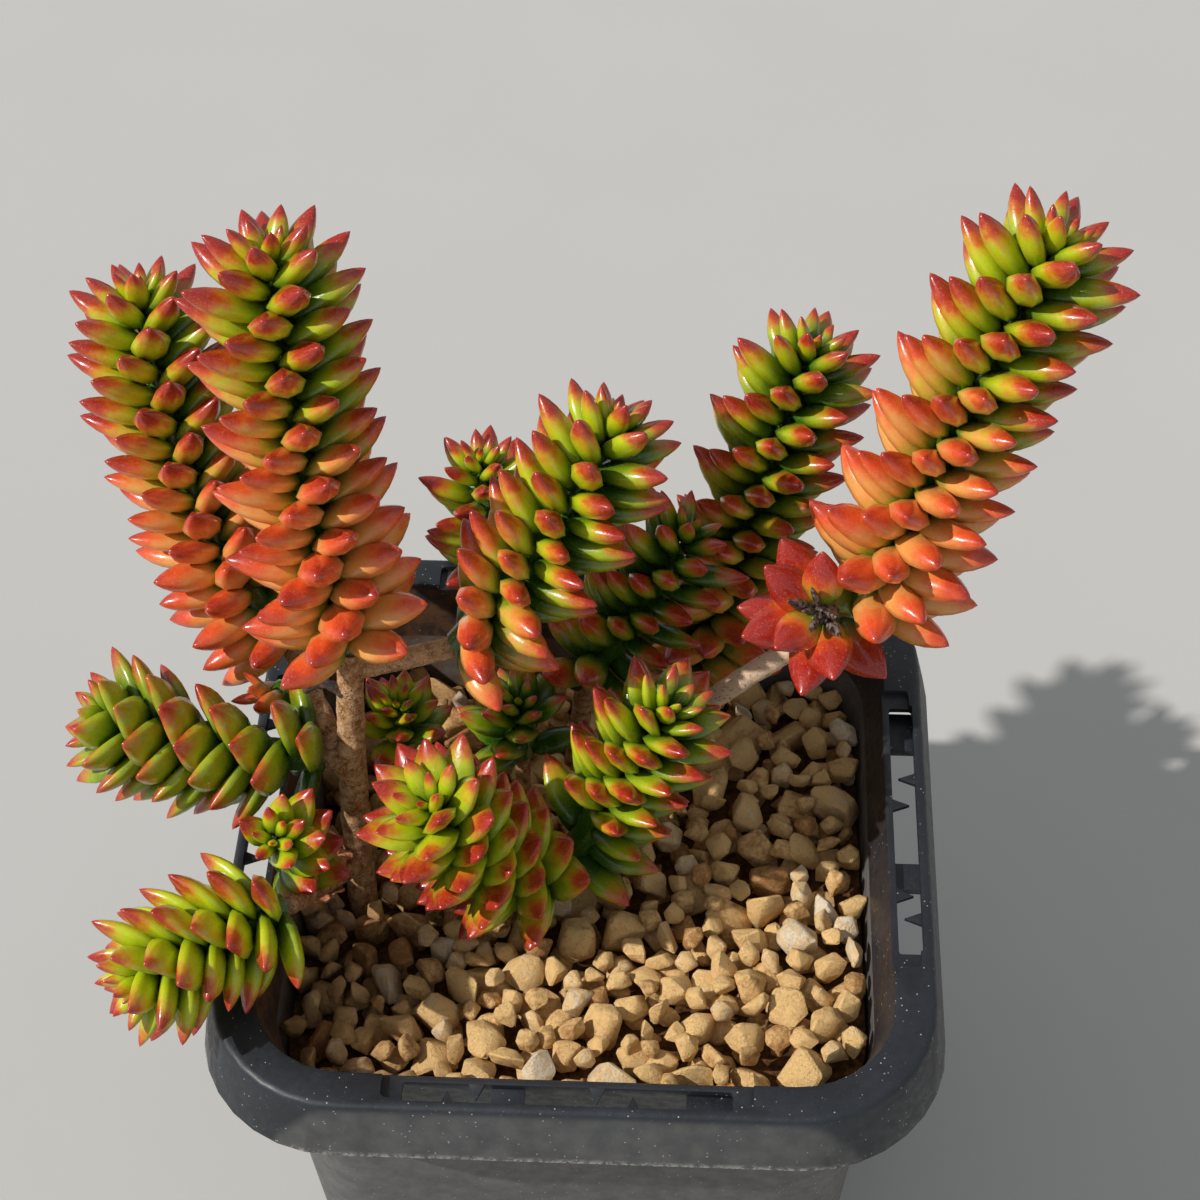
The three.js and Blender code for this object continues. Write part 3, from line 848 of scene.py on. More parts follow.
def leaf_skin(settings):
    """Plump glossy leaves: green when young, salmon when old and sunny, crimson at the tip.

    Deep green is painted shade on the side away from the sun and on shaded shoots, and at the roots it is
    partly the leaves' own colour and partly painted shade between them.
    """
    skin = Skin("leaf_skin")
    names = ("lengthwise", "upper", "blush", "sunny", "tone", "flush", "dry")
    lengthwise, upper, blush, sunny, tone, flush, dry = [skin.attribute(name) for name in names]
    # Painted shade: away from the sun and on shaded shoots the leaves are drawn deep green; near the roots
    # the deep green is partly their own colour and partly painted shade between the leaves.
    lit_and_leaf_green = 0.45 * sunny + 0.3 * skin.noise(0.45, 2.0) + 0.45 * skin.span(lengthwise, 0.05, 0.7)
    body = skin.mix(skin.span(lit_and_leaf_green, 0.3, 1.0), settings.deep_green, settings.green)
    wave = 0.6 * skin.noise(0.7, 2.0) - 0.3
    ripe = blush * skin.span(lengthwise, 0.05, 0.6, 0.3, 1.0) + wave * skin.span(blush, 0.0, 0.5, 0.2, 1.0)
    body = skin.mix(skin.span(ripe, 0.15, 0.75), body, settings.salmon)
    reach = lengthwise + 0.16 * skin.span(upper, -0.6, 1.0) + 0.2 * (tone - 0.5)
    reach = reach + 0.5 * wave + 0.14 * (sunny - 0.5) + flush
    body = skin.mix(skin.span(reach, 0.54, 0.96, 0.0, 0.92), body, settings.coral)
    body = skin.mix(skin.span(reach - 0.25 * blush, 0.64, 1.0, 0.0, 0.95), body, settings.crimson)
    speck = skin.span(skin.noise(5.5, 2.0, 0.6), 0.56, 0.72, 0.0, 0.22)
    body = skin.mix(speck, body, (0.85, 0.62, 0.42))
    husk = skin.mix(
        skin.span(skin.noise(1.6, 3.0, 0.6), 0.42, 0.62), (0.018, 0.012, 0.010), (0.20, 0.15, 0.13))
    return skin.finish(
        skin.mix(dry, body, husk), skin.span(skin.noise(2.2), 0.3, 0.75, 0.26, 0.40),
        skin.bump(skin.noise(4.0), 0.05, 0.5),
        Subsurface_Weight=0.14, Subsurface_Radius=(1.0, 0.5, 0.15), Subsurface_Scale=1.2 * MM,
        Coat_Weight=0.4, Coat_Roughness=0.11, Specular_IOR_Level=0.5)


def leaf_attributes(shoot, leaves, dice):
    """What the shoot's tree and its skin read on each leaf's point."""
    rows = []
    for leaf in leaves:
        heading = leaf["direction"]
        length = leaf["size"] * MM * lerp(1, DRIED_LENGTH_SHARE, leaf["dry"])
        breadth = shoot["breadth"] * lerp(1, DRIED_BREADTH_SHARE, leaf["dry"])
        # How far a leaf faces the sun: it blushes there, and its far side gets painted shade as deep green.
        sunny = clamp(0.5 + 0.62 * heading.dot(TO_SUN))
        old = clamp((leaf["down"] - BLUSH_START) / BLUSH_REACH)
        ripe = (0.95 * old + 0.55 * (sunny - 0.5)) * shoot["blush"]
        if leaf["age"] < YOUNG_AGE:
            form = "leaf_1_young"
        elif shoot["rosette"]:
            form = "leaf_4_boat"
        else:
            form = "leaf_3_plump" if leaf["low"] > OLD_LOWNESS else "leaf_2_column"
        rows.append({
            "heading": heading,
            "upside": unit(leaf["along"] - heading * heading.dot(leaf["along"])),
            "size": dice.uniform(0.94, 1.05) * length,
            "breadth": dice.uniform(0.93, 1.07) * breadth,
            "form": list(LEAF_FORMS).index(form),
            "blush": clamp(ripe + 4 * max(0, shoot["blush"] - 1)),
            # Painted shade: a shoot that others shade is drawn a darker green.
            "sunny": sunny * (1 - shoot["shade"]) - 0.5 * shoot["shade"],
            "tone": dice.random(),
            "flush": shoot["flush"],
            "dry": leaf["dry"],
        })
    kinds = {"heading": "FLOAT_VECTOR", "upside": "FLOAT_VECTOR", "form": "INT"}
    return {title: (kinds.get(title, "FLOAT"), [row[title] for row in rows]) for title in rows[0]}


class SEDUM_OT_shoots(bpy.types.Operator):
    """Grow the leafy shoots: plump pointed leaves in spiral rows round a green core"""
    bl_idname = "sedum.shoots"
    bl_label = "Leafy Shoots"

    def execute(self, context):
        settings = context.scene.sedum_leaf
        skin = leaf_skin(settings)
        forms = collected("Leaf Forms", [leaf_blank(name, form) for name, form in LEAF_FORMS.items()])
        tree = shoot_tree(forms)
        for name, leaves in settled_leaves().items():
            shoot = SHOOTS[name]
            roots = in_metres(leaf["root"] for leaf in leaves)
            attributes = leaf_attributes(shoot, leaves, random.Random(name))
            piece = link(name + "_leaves", point_mesh(name, roots, attributes))
            foot, pull, tip = in_metres(shoot["axis"])
            grow(piece, tree, {
                "Leaf Width": settings.width, "Leaf Thickness": settings.thickness, "Foot": foot,
                "Pull": pull, "Tip": tip, "Core Radius": CORE_RADIUS * DRAWN_CORE_SHARE * MM,
                "Core Dryness": float(shoot["dried"] > 0), "Leaf Skin": skin,
            })
            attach(piece, "root")
            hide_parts(name)
        discard(forms)
        return {"FINISHED"}


def rod_tree():
    """A knobbly rod along a bend."""
    graph = Graph(new_tree("Woody Rod", {
        "Foot": "Vector", "Pull": "Vector", "End": "Vector", "Radius": "Float", "Taper": "Float",
        "Knobs": "Float", "Seed": "Float", "Pale": "Float", "Skin": "Material",
    }))
    given = graph.given()
    path = graph.add("GeometryNodeCurveQuadraticBezier", {
        "Resolution": 64, "Start": given["Foot"], "Middle": given["Pull"], "End": given["End"]})
    even = graph.add("GeometryNodeResampleCurve", {"Curve": path, "Length": 0.35 * MM}, mode="LENGTH")
    along = graph.add("GeometryNodeSplineParameter", out="Factor")
    rod = tube(graph, even, 20, given["Radius"] * (1.0 + along * (given["Taper"] - 1.0)))
    place = graph.add("GeometryNodeInputPosition")
    relief = []
    for scale, share in ((420.0, 2.4), (1100.0, 1.2)):
        values = {"Vector": place, "W": given["Seed"], "Scale": scale, "Detail": 2.0}
        bumps = graph.add("ShaderNodeTexNoise", values, out="Fac", noise_dimensions="4D")
        relief.append(share * (bumps - 0.5))
    height = (relief[0] + relief[1]) * given["Knobs"]
    outwards = graph.add("GeometryNodeInputNormal")
    offset = graph.add("ShaderNodeVectorMath", {0: outwards, 3: height}, operation="SCALE")
    knobbly = graph.add("GeometryNodeSetPosition", {"Geometry": rod, "Offset": offset})
    marked = graph.add("GeometryNodeStoreNamedAttribute", {
        "Geometry": knobbly, "Name": "pale", "Value": given["Pale"]})
    return close_tree(graph, marked, given["Skin"])


def grown_rod(name, row, tree, knobs, seed, skin):
    """A piece grown from a row of STEMS or WITHERED."""
    piece = link(name, bpy.data.meshes.new(name))
    foot, pull, end = in_metres(row["bend"])
    grow(piece, tree, {
        "Foot": foot, "Pull": pull, "End": end, "Radius": row["radius"] * MM, "Taper": row["taper"],
        "Knobs": knobs, "Seed": float(seed), "Pale": row["pale"], "Skin": skin,
    })
    return piece


def bark_skin(settings):
    """Rough flecked bark, which is dark on the cut stub's end."""
    skin = Skin("bark_skin")
    pale = skin.attribute("pale")
    patch = skin.noise(0.8, 4.0, 0.6)
    base = skin.mix(skin.span(patch + 0.35 * pale, 0.4, 0.75), settings.brown, settings.beige)
    base = skin.mix(0.45 * skin.span(pale, 0.6, 1.0), base, from_screen(0xDCC6B2))
    base = skin.mix(
        skin.span(skin.noise(2.2, 4.0, 0.7), 0.57, 0.64, 0.0, 0.85), base, (0.06, 0.035, 0.02))
    base = skin.mix(skin.span(skin.noise(3.4, 2.0), 0.55, 0.7, 0.0, 0.5), base, (0.72, 0.62, 0.50))
    x, y, z = skin.axes()
    end_x, end_y, end_z = STEMS["cut_stub"]["bend"][2]
    cut = skin.span(x, end_x - 0.3, end_x) * skin.span(x, end_x + 2.0, end_x + 1.5)
    cut = cut * skin.span(abs(y - end_y), 2.4, 2.2) * skin.span(abs(z - end_z), 2.4, 2.2)
    base = skin.mix(0.9 * cut, base, (0.02, 0.012, 0.01))
    relief = skin.bump(skin.noise(2.4, 5.0, 0.65), 0.25, 0.9)
    return skin.finish(base, skin.span(patch, 0.2, 0.8, 0.65, 0.9), relief, Specular_IOR_Level=0.3)


class SEDUM_OT_stems(bpy.types.Operator):
    """Grow the bare woody stems"""
    bl_idname = "sedum.stems"
    bl_label = "Stems"

    def execute(self, context):
        settings = context.scene.sedum_stem
        skin = bark_skin(settings)
        tree = rod_tree()
        for number, (name, row) in enumerate(STEMS.items()):
            piece = grown_rod(name + "_bark", row, tree, settings.knobs, number, skin)
            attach(piece, "root")
            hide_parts(name)
        return {"FINISHED"}


def withered_skin():
    """Black to brown shrivelled tissue."""
    skin = Skin("withered_skin")
    patch = skin.noise(1.1, 4.0, 0.6)
    base = skin.mix(skin.span(patch, 0.35, 0.7), (0.012, 0.009, 0.008), (0.10, 0.05, 0.03))
    relief = skin.bump(skin.noise(3.0, 4.0, 0.7), 0.3, 1.0)
    return skin.finish(base, skin.span(patch, 0.3, 0.7, 0.55, 0.8), relief)


def dry_skin():
    """The papery brown of a dry leaf, with dark spots."""
    skin = Skin("dry_leaf_skin")
    patch = skin.noise(0.7, 4.0, 0.6)
    base = skin.mix(skin.span(patch, 0.35, 0.7), from_screen(0xB9714A), from_screen(0xE2A684))
    base = skin.mix(skin.span(skin.noise(2.0), 0.6, 0.7, 0.0, 0.6), base, from_screen(0x5A3220))
    relief = skin.bump(skin.noise(2.4, 4.0, 0.6), 0.3, 0.8)
    return skin.finish(
        base, skin.span(patch, 0.3, 0.7, 0.5, 0.75), relief,
        Subsurface_Weight=0.2, Subsurface_Radius=(1.0, 0.5, 0.25), Subsurface_Scale=1 * MM)


def curl_mesh():
    """A dry leaf rolled round the lower left branch: a split tube with ragged ends."""
    branch = Bend(STEMS["lower_left_branch"]["bend"])
    bm = bmesh.new()
    rows = []
    steps, sides = 22, 20
    for step in range(steps + 1):
        share = lerp(*CURL_STRETCH, step / steps)
        centre = branch.at(share)
        along = unit(branch.at(share + 0.01) - branch.at(share - 0.01))
        side = unit(np.cross(along, (0, 0, 1)))
        up = np.cross(side, along)
        half = math.radians(CURL_HALF_TURN) * (1 - 0.25 * abs(2 * step / steps - 1) ** 3)
        row = []
        for k in range(sides + 1):
            angle = lerp(-half, half, k / sides) + 0.15 * math.sin(step * 0.7)
            crinkle = noise.noise(Vector((step * 0.35, k * 0.3, 4.0)))
            reach = CURL_RADIUS + 0.35 * crinkle + 0.2 * abs(2 * step / steps - 1) ** 2
            spot = centre + (side * math.cos(angle) + up * math.sin(angle)) * reach
            row.append(bm.verts.new(Vector(spot) * MM))
        rows.append(row)
    for low, high in zip(rows, rows[1:]):
        for k in range(sides):
            bm.faces.new((low[k], high[k], high[k + 1], low[k + 1]))
    return mesh_from(bm, "dry_leaf_curl")


class SEDUM_OT_withered(bpy.types.Operator):
    """Add the shrivelled leaves that still cling to the stems"""
    bl_idname = "sedum.withered"
    bl_label = "Withered Leaves"

    def execute(self, context):
        skin = withered_skin()
        tree = rod_tree()
        for number, (name, row) in enumerate(WITHERED.items(), WITHERED_SEED):
            piece = grown_rod(name + "_crust", row, tree, WITHERED_KNOBS * MM, number, skin)
            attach(piece, "root")
            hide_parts(name)
        curl = link("dry_leaf_curl_skin", curl_mesh())
        thick = curl.modifiers.new("Thickness", "SOLIDIFY")
        thick.thickness = CURL_THICKNESS * MM
        settle(curl)
        mark_sharp(curl.data, 60)
        curl.data.materials.append(dry_skin())
        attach(curl, "root")
        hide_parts("dry_leaf_curl")
        return {"FINISHED"}


def pot_rings():
    """The pot's rings, from its base up the outside, over the rim and down the inside to the floor."""
    def body(half, z):
        return rounded_rectangle(half, half, BODY_CORNER * half / BASE_HALF, z)

    def skirt(half, z):
        return rounded_rectangle(half, half, SKIRT_CORNER * half / SKIRT_HALF, z)

    def hollow(half, z):
        return rounded_rectangle(half, half, HOLLOW_CORNER * half / (BASE_HALF - WALL), z)

    return [
        body(33.7, 0), body(34.25, 0.15), body(BASE_HALF, 0.7), body(NECK_HALF, SKIRT_FOOT),
        body(40.5, 78.1), body(40.8, 78.35),
        skirt(43.9, 78.4), skirt(44.25, 78.1), skirt(45.65, 71.5), skirt(45.85, SKIRT_FOOT),
        skirt(46.55, SKIRT_FOOT), skirt(SKIRT_HALF, 71.65), skirt(45.2, 79.1), skirt(45.05, 79.6),
        skirt(44.75, 79.9), skirt(44.35, POT_HEIGHT),
        hollow(40.5, POT_HEIGHT), hollow(40.1, 79.85), hollow(39.9, 79.45),
        hollow(NECK_HALF - WALL, SKIRT_FOOT), hollow(33.5, 2.4), hollow(33.2, 1.8), hollow(32.6, FLOOR),
    ]


def turned_copies(rings, angles):
    """The same rings, turned about the pot's axis by each of these angles."""
    copies = []
    for angle in angles:
        turn = Matrix.Rotation(math.radians(angle), 3, "Z")
        copies.append([[turn @ Vector(point) for point in ring] for ring in rings])
    return copies


def cutter(name, shapes):
    """One object of several closed shapes, for a Boolean modifier."""
    bm = bmesh.new()
    for rings in shapes:
        loft(bm, rings)
    return link(name, mesh_from(bm, name))


def tooth_shapes():
    """The barbs and ribs of the slot that faces +X, each as two rings."""
    top = POT_HEIGHT - STEP_DEPTH - 0.05
    levels = (top - BARB_THICKNESS, top)
    shapes = []
    rows = (OUTER_BARBS, SLOT_FAR + TOOTH_BITE, -1), (INNER_BARBS, SLOT_NEAR - TOOTH_BITE, 1)
    for places, root, reach in rows:
        tip = root + reach * (BARB_LENGTH + TOOTH_BITE)
        side = reach * BARB_BASE / 2
        for place in places:
            corners = [(root, place - side), (tip, place), (root, place + side)]
            shapes.append([[(x, y, z) for x, y in corners] for z in levels])
    near, far = SLOT_NEAR - 0.7, SLOT_FAR + 1
    for centre, length, sunk in SLOT_RIBS:
        high = POT_HEIGHT - sunk
        middle = ((near + far) / 2, centre)
        shapes.append([
            rounded_rectangle((far - near) / 2, length / 2, 0.3, z, middle, 2) for z in (high - WALL, high)])
    return shapes


def plastic_skin(settings):
    """Dark moulded plastic under a film of dust, with a crust along the skirt's lower edge."""
    skin = Skin("pot_plastic_skin")
    x, y, z = skin.axes()
    reach = skin.math("MAXIMUM", abs(x), abs(y))
    lighter = [1.6 * share for share in settings.plastic]
    base = skin.mix(skin.span(skin.noise(0.12, 4.0, 0.6), 0.3, 0.75), settings.plastic, lighter)
    skirt = skin.span(reach, 44.8, 45.4) * skin.span(z, 79.9, 78.8)
    below = skin.span(z, SKIRT_FOOT - 0.05, SKIRT_FOOT - 0.3)
    film = (0.14 * skirt + 0.24 * below) * skin.span(skin.noise(0.35, 4.0), 0.2, 0.8, 0.6, 1.3)
    speck = skin.span(skin.noise(3.2, 4.0, 0.75), 0.62, 0.74, 0.0, 0.35)
    mote = skin.span(skin.cells(1.1), 0.13, 0.09) * skin.span(skin.noise(0.3, 2.0), 0.42, 0.55)
    crust_line = skin.span(z, 72.6, 71.4) * skin.span(reach, 45.6, 46.0)
    crust = crust_line * skin.span(skin.noise(1.2, 5.0, 0.7), 0.42, 0.6)
    for share in (film, speck, 0.8 * mote, 0.75 * crust):
        base = skin.mix(share, base, settings.dust)
    # The hollow's wall faces the pot's axis. It is dirtier to the left than to the right.
    around = skin.add("ShaderNodeVectorMath", {0: skin.place, 1: (1, 1, 0)}, operation="MULTIPLY")
    facing = skin.add("ShaderNodeTexCoord", out="Normal")
    outward = skin.add("ShaderNodeVectorMath", {0: around, 1: facing}, out="Value", operation="DOT_PRODUCT")
    inside = skin.span(outward, 0.0, -8.0) * skin.span(reach, 40.3, 40.0) * skin.span(z, 79.5, 78.6)
    patchy = skin.span(skin.noise(0.5, 4.0, 0.65), 0.35, 0.65, 0.1, 0.8)
    dirt = inside * patchy * skin.span(x, 0, 34, 1.0, 0.2)
    base = skin.mix(dirt, base, from_screen(0x5E4027))
    rough = skin.span(skin.noise(0.8, 4.0), 0.3, 0.7, 0.42, 0.58) + 0.8 * film
    return skin.finish(base, rough, skin.bump(skin.noise(2.0), 0.03, 0.6), Specular_IOR_Level=0.5)


class SEDUM_OT_pot(bpy.types.Operator):
    """Mould the square nursery pot with its slotted rim"""
    bl_idname = "sedum.pot"
    bl_label = "Pot"

    def execute(self, context):
        settings = context.scene.sedum_pot
        bm = bmesh.new()
        loft(bm, pot_rings())
        pot = link("nursery_pot_plastic", mesh_from(bm, "pot"))
        step_middle = ((STEP_NEAR + STEP_FAR) / 2, 0)
        step = [
            rounded_rectangle((STEP_FAR - STEP_NEAR) / 2, STEP_HALF_LENGTH, 0.7, z, step_middle, 4)
            for z in (POT_HEIGHT - STEP_DEPTH, POT_HEIGHT + 2)]
        slot_middle = ((SLOT_NEAR + SLOT_FAR) / 2, 0)
        slot = [
            rounded_rectangle((SLOT_FAR - SLOT_NEAR) / 2, SLOT_HALF_LENGTH, 0.4, z, slot_middle, 3)
            for z in (POT_HEIGHT - 6, POT_HEIGHT + 3)]
        drain = [
            rounded_rectangle(DRAIN_HALF_LENGTH, DRAIN_HALF_WIDTH, DRAIN_CORNER, z, DRAIN_MIDDLE, 4)
            for z in (-3, 5)]
        quarters = range(0, 360, 90)
        teeth = [copy for tooth in tooth_shapes() for copy in turned_copies(tooth, quarters)]
        cuts = [
            ("DIFFERENCE", cutter("steps", turned_copies(step, quarters))),
            ("DIFFERENCE", cutter("slots", turned_copies(slot, quarters))),
            ("DIFFERENCE", cutter("drains", turned_copies(drain, range(0, 360, 360 // DRAIN_COUNT)))),
            ("UNION", cutter("teeth", teeth)),
        ]
        for operation, tool in cuts:
            cut = pot.modifiers.new("Cut", "BOOLEAN")
            cut.operation = operation
            cut.object = tool
            cut.solver = "EXACT"
        edges = pot.modifiers.new("Rounding", "BEVEL")
        edges.width = settings.rounding
        edges.segments = 2
        edges.limit_method = "ANGLE"
        edges.angle_limit = math.radians(50)
        settle(pot)
        for _, tool in cuts:
            bpy.data.objects.remove(tool)
        mark_sharp(pot.data, 35)
        pot.data.materials.append(plastic_skin(settings))
        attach(pot, "root")
        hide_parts("nursery_pot")
        return {"FINISHED"}


def grain_blank(number):
    """An angular grain about 1 in radius: the hull of a few scattered points, with worn edges."""
    dice = random.Random(100 + number)
    squash = Vector([dice.uniform(1.05, 1.35), dice.uniform(0.9, 1.1), dice.uniform(0.75, 0.95)])
    bm = bmesh.new()
    spots = []
    while len(spots) < GRAIN_CORNERS:
        way = Vector([dice.gauss(0, 1) for _ in range(3)]).normalized()
        if all((way - other).length > GRAIN_CORNER_GAP for other in spots):
            spots.append(way)
    for way in spots:
        reach = dice.uniform(0.95, 1.25)
        bm.verts.new([a * b * reach for a, b in zip(way, squash)])
    hull = bmesh.ops.convex_hull(bm, input=bm.verts[:])
    inside = [item for item in hull["geom_interior"] if isinstance(item, bmesh.types.BMVert)]
    bmesh.ops.delete(bm, geom=inside, context="VERTS")
    bmesh.ops.bevel(bm, geom=bm.edges[:], offset=GRAIN_WEAR, segments=1, affect="EDGES", clamp_overlap=True)
    bmesh.ops.recalc_face_normals(bm, faces=bm.faces[:])
    if bm.calc_volume(signed=True) < 0:
        bmesh.ops.reverse_faces(bm, faces=bm.faces[:])
    mesh = mesh_from(bm, f"grain_{number:02d}")
    mark_sharp(mesh, 38)
    return bpy.data.objects.new(mesh.name, mesh)


def stem_columns():
    """The stems near the grit, as points with radii."""
    spots = []
    for stem in STEMS.values():
        bend = Bend(stem["bend"])
        for share in np.linspace(0, 1, 40):
            spot = bend.point(share)
            if spot[2] < 76:
                spots.append((*spot, stem["radius"]))
    return np.array(spots)


def poured_grains(smallest, largest, seed):
    """Grains dropped one by one, each into the lowest of several places, until the level is reached."""
    dice = random.Random(seed)
    stems = stem_columns()
    grains = np.zeros((0, 4))
    failures = 0
    while failures < POUR_FAILURES and len(grains) < GRAIN_LIMIT:
        radius = smallest + (largest - smallest) * dice.random() ** GRAIN_SIZE_RAMP
        body = GRAIN_BODY_SHARE * radius
        half = NECK_HALF - WALL - POUR_MARGIN - radius * GRAIN_REACH_SHARE
        found = []
        for _ in range(POUR_TRIES):
            x, y = dice.uniform(-half, half), dice.uniform(-half, half)
            fold_x, fold_y = abs(x) - (half - POUR_CORNER), abs(y) - (half - POUR_CORNER)
            if fold_x > 0 and fold_y > 0 and math.hypot(fold_x, fold_y) > POUR_CORNER_REACH:
                continue
            z = resting_height(grains, x, y, radius)
            level = z + body - grit_level(x, y)
            away = np.linalg.norm(stems[:, :3] - (x, y, z), axis=1) - stems[:, 3]
            if level <= POUR_EXCESS and away.min() >= body:
                found.append((level, x, y, z))
        if found:
            _, x, y, z = min(found, key=lambda spot: spot[0])
            grains = np.vstack([grains, (x, y, z, radius)])
            failures = 0
        else:
            failures += 1
    return grains


def resting_height(grains, x, y, radius):
    """How high a grain dropped at a place comes to rest, at the foot of the pour or on other grains."""
    flat = np.hypot(grains[:, 0] - x, grains[:, 1] - y)
    reach = grains[:, 3] + radius
    near = flat < reach
    tops = grains[near, 2] + GRAIN_NESTING * np.sqrt(reach[near] ** 2 - flat[near] ** 2)
    return max([grit_level(x, y) - POUR_DEPTH + radius, *tops])


def grit_tree(forms):
    """Sets a grain on each point, turned and sized as the point says."""
    graph = Graph(new_tree("Poured Grit", {"Swell": "Float", "Skin": "Material"}))
    given = graph.given()
    turn = graph.add("FunctionNodeEulerToRotation", {0: graph.attribute("turn", "FLOAT_VECTOR")})
    size = graph.attribute("size") * given["Swell"]
    scale = graph.add("ShaderNodeCombineXYZ", {0: size, 1: size, 2: size})
    grains = set_on_points(graph, given["Geometry"], forms, turn, scale)
    return close_tree(graph, grains, given["Skin"])


def grain_skin(settings):
    """Porous dusty grains in several tints, with painted shade in brown near the trunk at the left."""
    skin = Skin("grit_skin")
    mottle = skin.noise(0.9, 5.0, 0.65)
    mixed = skin.attribute("tint") + 1.1 * (mottle - 0.5)
    base = skin.mix(skin.span(mixed, 0.0, 0.35), settings.brown, settings.tan)
    base = skin.mix(skin.span(mixed, 0.55, 1.0), base, settings.pale)
    base = skin.mix(skin.span(skin.cells(1.5), 0.0, 0.28, 0.35, 0.0), base, from_screen(0x6E4A2A))
    dust = skin.span(skin.noise(3.5, 3.0, 0.7), 0.52, 0.72, 0.0, 0.4)
    base = skin.mix(dust, base, from_screen(0xEBDCC4))
    # Painted shade: the grit at the left, in the plant's shadow, is drawn brown.
    painted_shade_left = skin.span(skin.axes()[0], -8, -30) * skin.span(skin.noise(0.25, 2.0), 0.3, 0.7, 0.25, 0.7)
    base = skin.mix(painted_shade_left, base, from_screen(0x8A5632))
    coarse = skin.bump(skin.noise(1.0, 6.0, 0.7), 0.8)
    relief = skin.bump(skin.noise(3.6, 4.0, 0.7), 0.25, 1.0, coarse)
    return skin.finish(base, skin.span(mottle, 0.3, 0.7, 0.85, 0.98), relief, Specular_IOR_Level=0.2)


def gap_shade_skin():
    """The dark fill that shows between the grains: painted shade, drawn dark brown."""
    skin = Skin("grit_depth_skin")
    patch = skin.noise(0.9, 4.0, 0.6)
    # Painted shade: the depths between the grains are drawn dark brown.
    base = skin.mix(skin.span(patch, 0.3, 0.7), from_screen(0x3A2412), from_screen(0x6E4C2C))
    relief = skin.bump(skin.noise(1.0, 4.0), 0.8, 1.0)
    return skin.finish(base, skin.span(patch, 0.3, 0.7, 0.9, 1.0), relief, Specular_IOR_Level=0.2)


def grit_fill_mesh():
    """The fill below the loose grains, shaped to the pot's hollow."""
    bm = bmesh.new()
    rings = []
    for z in np.linspace(FILL_BOTTOM, FILL_TOP, 24):
        half = lerp(BASE_HALF, NECK_HALF, z / SKIRT_FOOT) - WALL - 0.3
        corner = HOLLOW_CORNER * half / (BASE_HALF - WALL)
        rings.append(rounded_rectangle(half, half, corner, z))
    rings[-1] = [(x, y, grit_level(x, y) - FILL_DEPTH) for x, y, _ in rings[-1]]
    loft(bm, rings)
    return mesh_from(bm, "grit_depth")


class SEDUM_OT_grit(bpy.types.Operator):
    """Pour the coarse grit into the pot"""
    bl_idname = "sedum.grit"
    bl_label = "Grit"

    def execute(self, context):
        settings = context.scene.sedum_grit
        forms = collected("Grain Forms", [grain_blank(number) for number in range(GRAIN_FORMS)])
        grains = poured_grains(settings.smallest / MM, settings.largest / MM, settings.seed)
        dice = random.Random(settings.seed + 1)
        attributes = {
            "size": ("FLOAT", grains[:, 3] * MM),
            "turn": ("FLOAT_VECTOR", [[dice.uniform(0, 6.28) for _ in range(3)] for _ in grains]),
            "form": ("INT", [dice.randrange(GRAIN_FORMS) for _ in grains]),
            "tint": ("FLOAT", [clamp(dice.gauss(0.42, 0.2)) for _ in grains]),
        }
        piece = link("grit_grains", point_mesh("grit", in_metres(grains[:, :3]), attributes))
        grow(piece, grit_tree(forms), {"Swell": GRAIN_SWELL, "Skin": grain_skin(settings)})
        discard(forms)
        depth = link("grit_depth", grit_fill_mesh())
        depth.data.materials.append(gap_shade_skin())
        for part in (piece, depth):
            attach(part, "root")
            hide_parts("grit_bed")
        return {"FINISHED"}


def floor_skin(settings):
    """A plain floor, faintly mottled."""
    skin = Skin("floor_skin")
    base = skin.mix(skin.noise(0.02), settings.floor, [0.95 * share for share in settings.floor])
    relief = skin.bump(skin.noise(0.5), 0.05, 0.3)
    return skin.finish(base, skin.span(skin.noise(0.1), 0.3, 0.7, 0.85, 0.95), relief)


def place_camera():
    """A camera on the point that the photo was taken from, with its roll."""
    around, upwards, roll = [math.radians(angle) for angle in (CAMERA_AROUND, CAMERA_UP, CAMERA_ROLL)]
    back = Vector((
        math.sin(around) * math.cos(upwards), -math.cos(around) * math.cos(upwards), math.sin(upwards)))
    level = (-back).cross(Vector((0, 0, 1))).normalized()
    upright = level.cross(-back)
    right = level * math.cos(roll) + upright * math.sin(roll)
    up = upright * math.cos(roll) - level * math.sin(roll)
    data = bpy.data.cameras.new("camera")
    data.lens = CAMERA_LENS
    data.sensor_width = 36
    data.clip_start = 0.01
    camera = link("camera", data)
    where = (Vector(CAMERA_TARGET) + back * CAMERA_DISTANCE) * MM
    camera.matrix_world = Matrix.Translation(where) @ Matrix((right, up, back)).transposed().to_4x4()
    bpy.context.scene.camera = camera


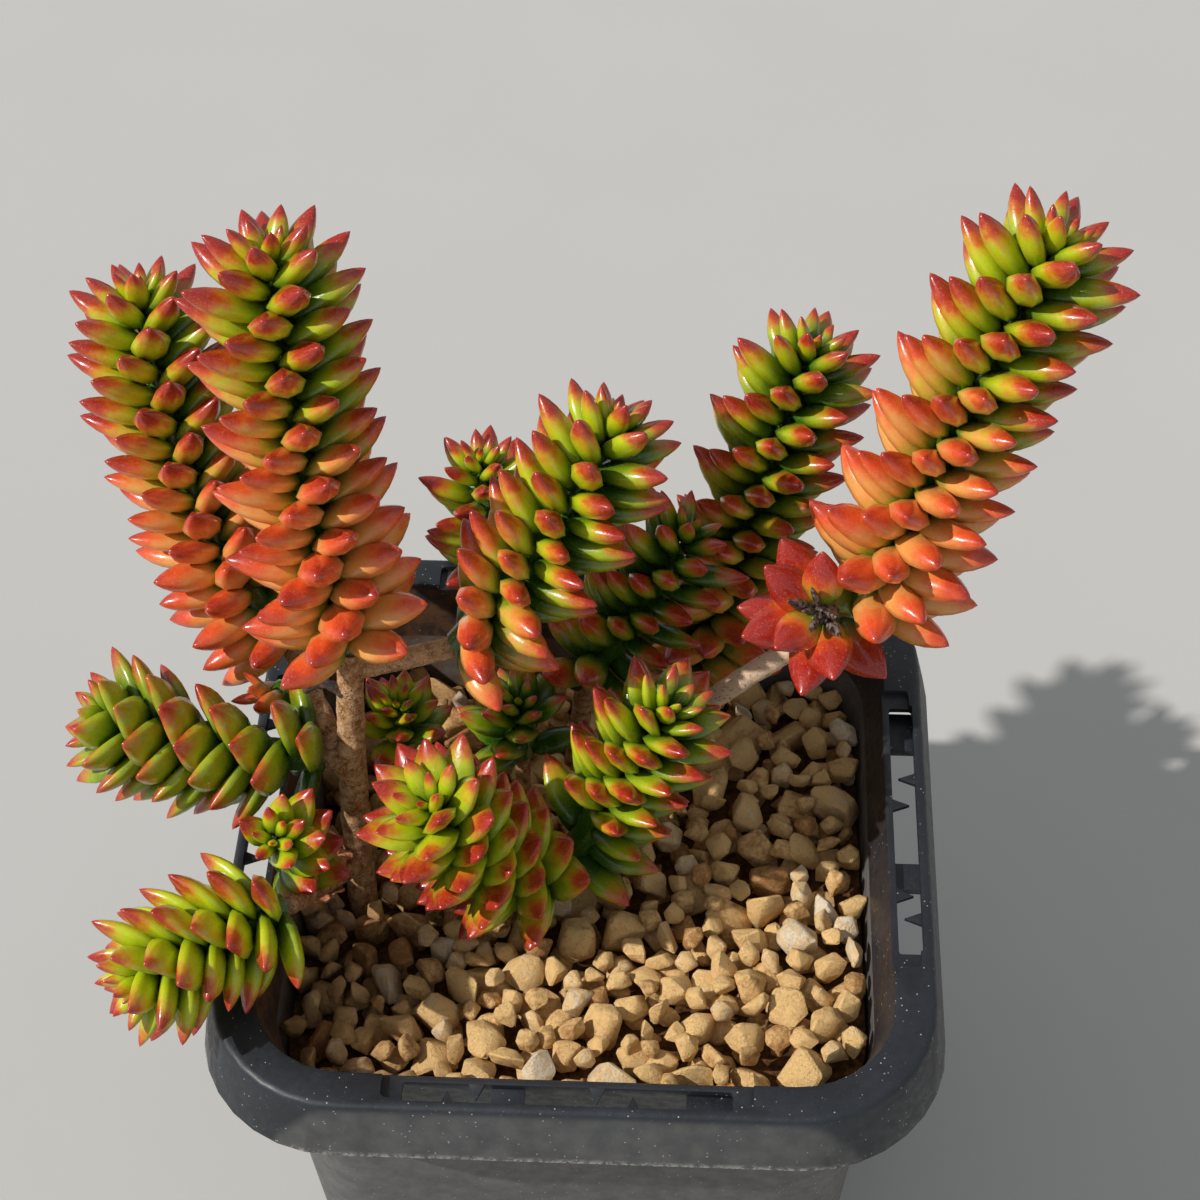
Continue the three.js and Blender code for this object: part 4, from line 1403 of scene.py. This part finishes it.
class SEDUM_OT_stage(bpy.types.Operator):
    """Set the camera, the light and a plain pale floor"""
    bl_idname = "sedum.stage"
    bl_label = "Stage"

    def execute(self, context):
        settings = context.scene.sedum_stage
        bm = bmesh.new()
        bmesh.ops.create_grid(bm, x_segments=1, y_segments=1, size=2.5)
        floor = link("stage_floor", mesh_from(bm, "stage_floor"))
        floor.data.materials.append(floor_skin(settings))
        floor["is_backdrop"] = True
        sun = bpy.data.lights.new("key_light", "SUN")
        sun.energy = settings.sun
        sun.angle = math.radians(1)
        sun.color = (1.0, 0.97, 0.93)
        lamp = link("key_light", sun)
        lamp.rotation_euler = Vector(TO_LAMP).to_track_quat("Z", "Y").to_euler()
        world = bpy.data.worlds.new("soft_sky")
        world.use_nodes = True
        sky = world.node_tree.nodes["Background"]
        sky.inputs["Color"].default_value = (0.93, 0.96, 1.0, 1.0)
        sky.inputs["Strength"].default_value = settings.sky
        context.scene.world = world
        context.scene.view_settings.view_transform = "Standard"
        place_camera()
        return {"FINISHED"}


class SEDUM_PT_panel(bpy.types.Panel):
    """The sedum's pieces and their settings"""
    bl_idname = "SEDUM_PT_panel"
    bl_label = "Potted Sedum"
    bl_space_type = "VIEW_3D"
    bl_region_type = "UI"
    bl_category = "Sedum"

    def draw(self, context):
        for piece, holder in PANEL_ROWS:
            box = self.layout.box()
            box.operator(piece.bl_idname)
            settings = getattr(context.scene, holder, None) if holder else None
            if settings:
                for name in type(settings).__annotations__:
                    box.prop(settings, name)


SETTINGS = {
    "sedum_leaf": SedumLeafSettings,
    "sedum_stem": SedumStemSettings,
    "sedum_pot": SedumPotSettings,
    "sedum_grit": SedumGritSettings,
    "sedum_stage": SedumStageSettings,
}
PANEL_ROWS = (
    (SEDUM_OT_pot, "sedum_pot"),
    (SEDUM_OT_grit, "sedum_grit"),
    (SEDUM_OT_stems, "sedum_stem"),
    (SEDUM_OT_shoots, "sedum_leaf"),
    (SEDUM_OT_withered, None),
    (SEDUM_OT_stage, "sedum_stage"),
)


def register():
    for holder, group in SETTINGS.items():
        bpy.utils.register_class(group)
        setattr(bpy.types.Scene, holder, PointerProperty(type=group))
    for piece, _ in PANEL_ROWS:
        bpy.utils.register_class(piece)
    bpy.utils.register_class(SEDUM_PT_panel)


def unregister():
    bpy.utils.unregister_class(SEDUM_PT_panel)
    for piece, _ in reversed(PANEL_ROWS):
        bpy.utils.unregister_class(piece)
    for holder, group in reversed(SETTINGS.items()):
        delattr(bpy.types.Scene, holder)
        bpy.utils.unregister_class(group)


def corners():
    return [list(corner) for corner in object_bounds()]


def main():
    register()
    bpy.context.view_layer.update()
    bpy.ops.sedum.stage()
    bpy.ops.sedum.pot()
    bpy.ops.sedum.grit()
    bpy.ops.sedum.stems()
    bpy.ops.sedum.shoots()
    bpy.ops.sedum.withered()


if __name__ == "__main__":
    main()
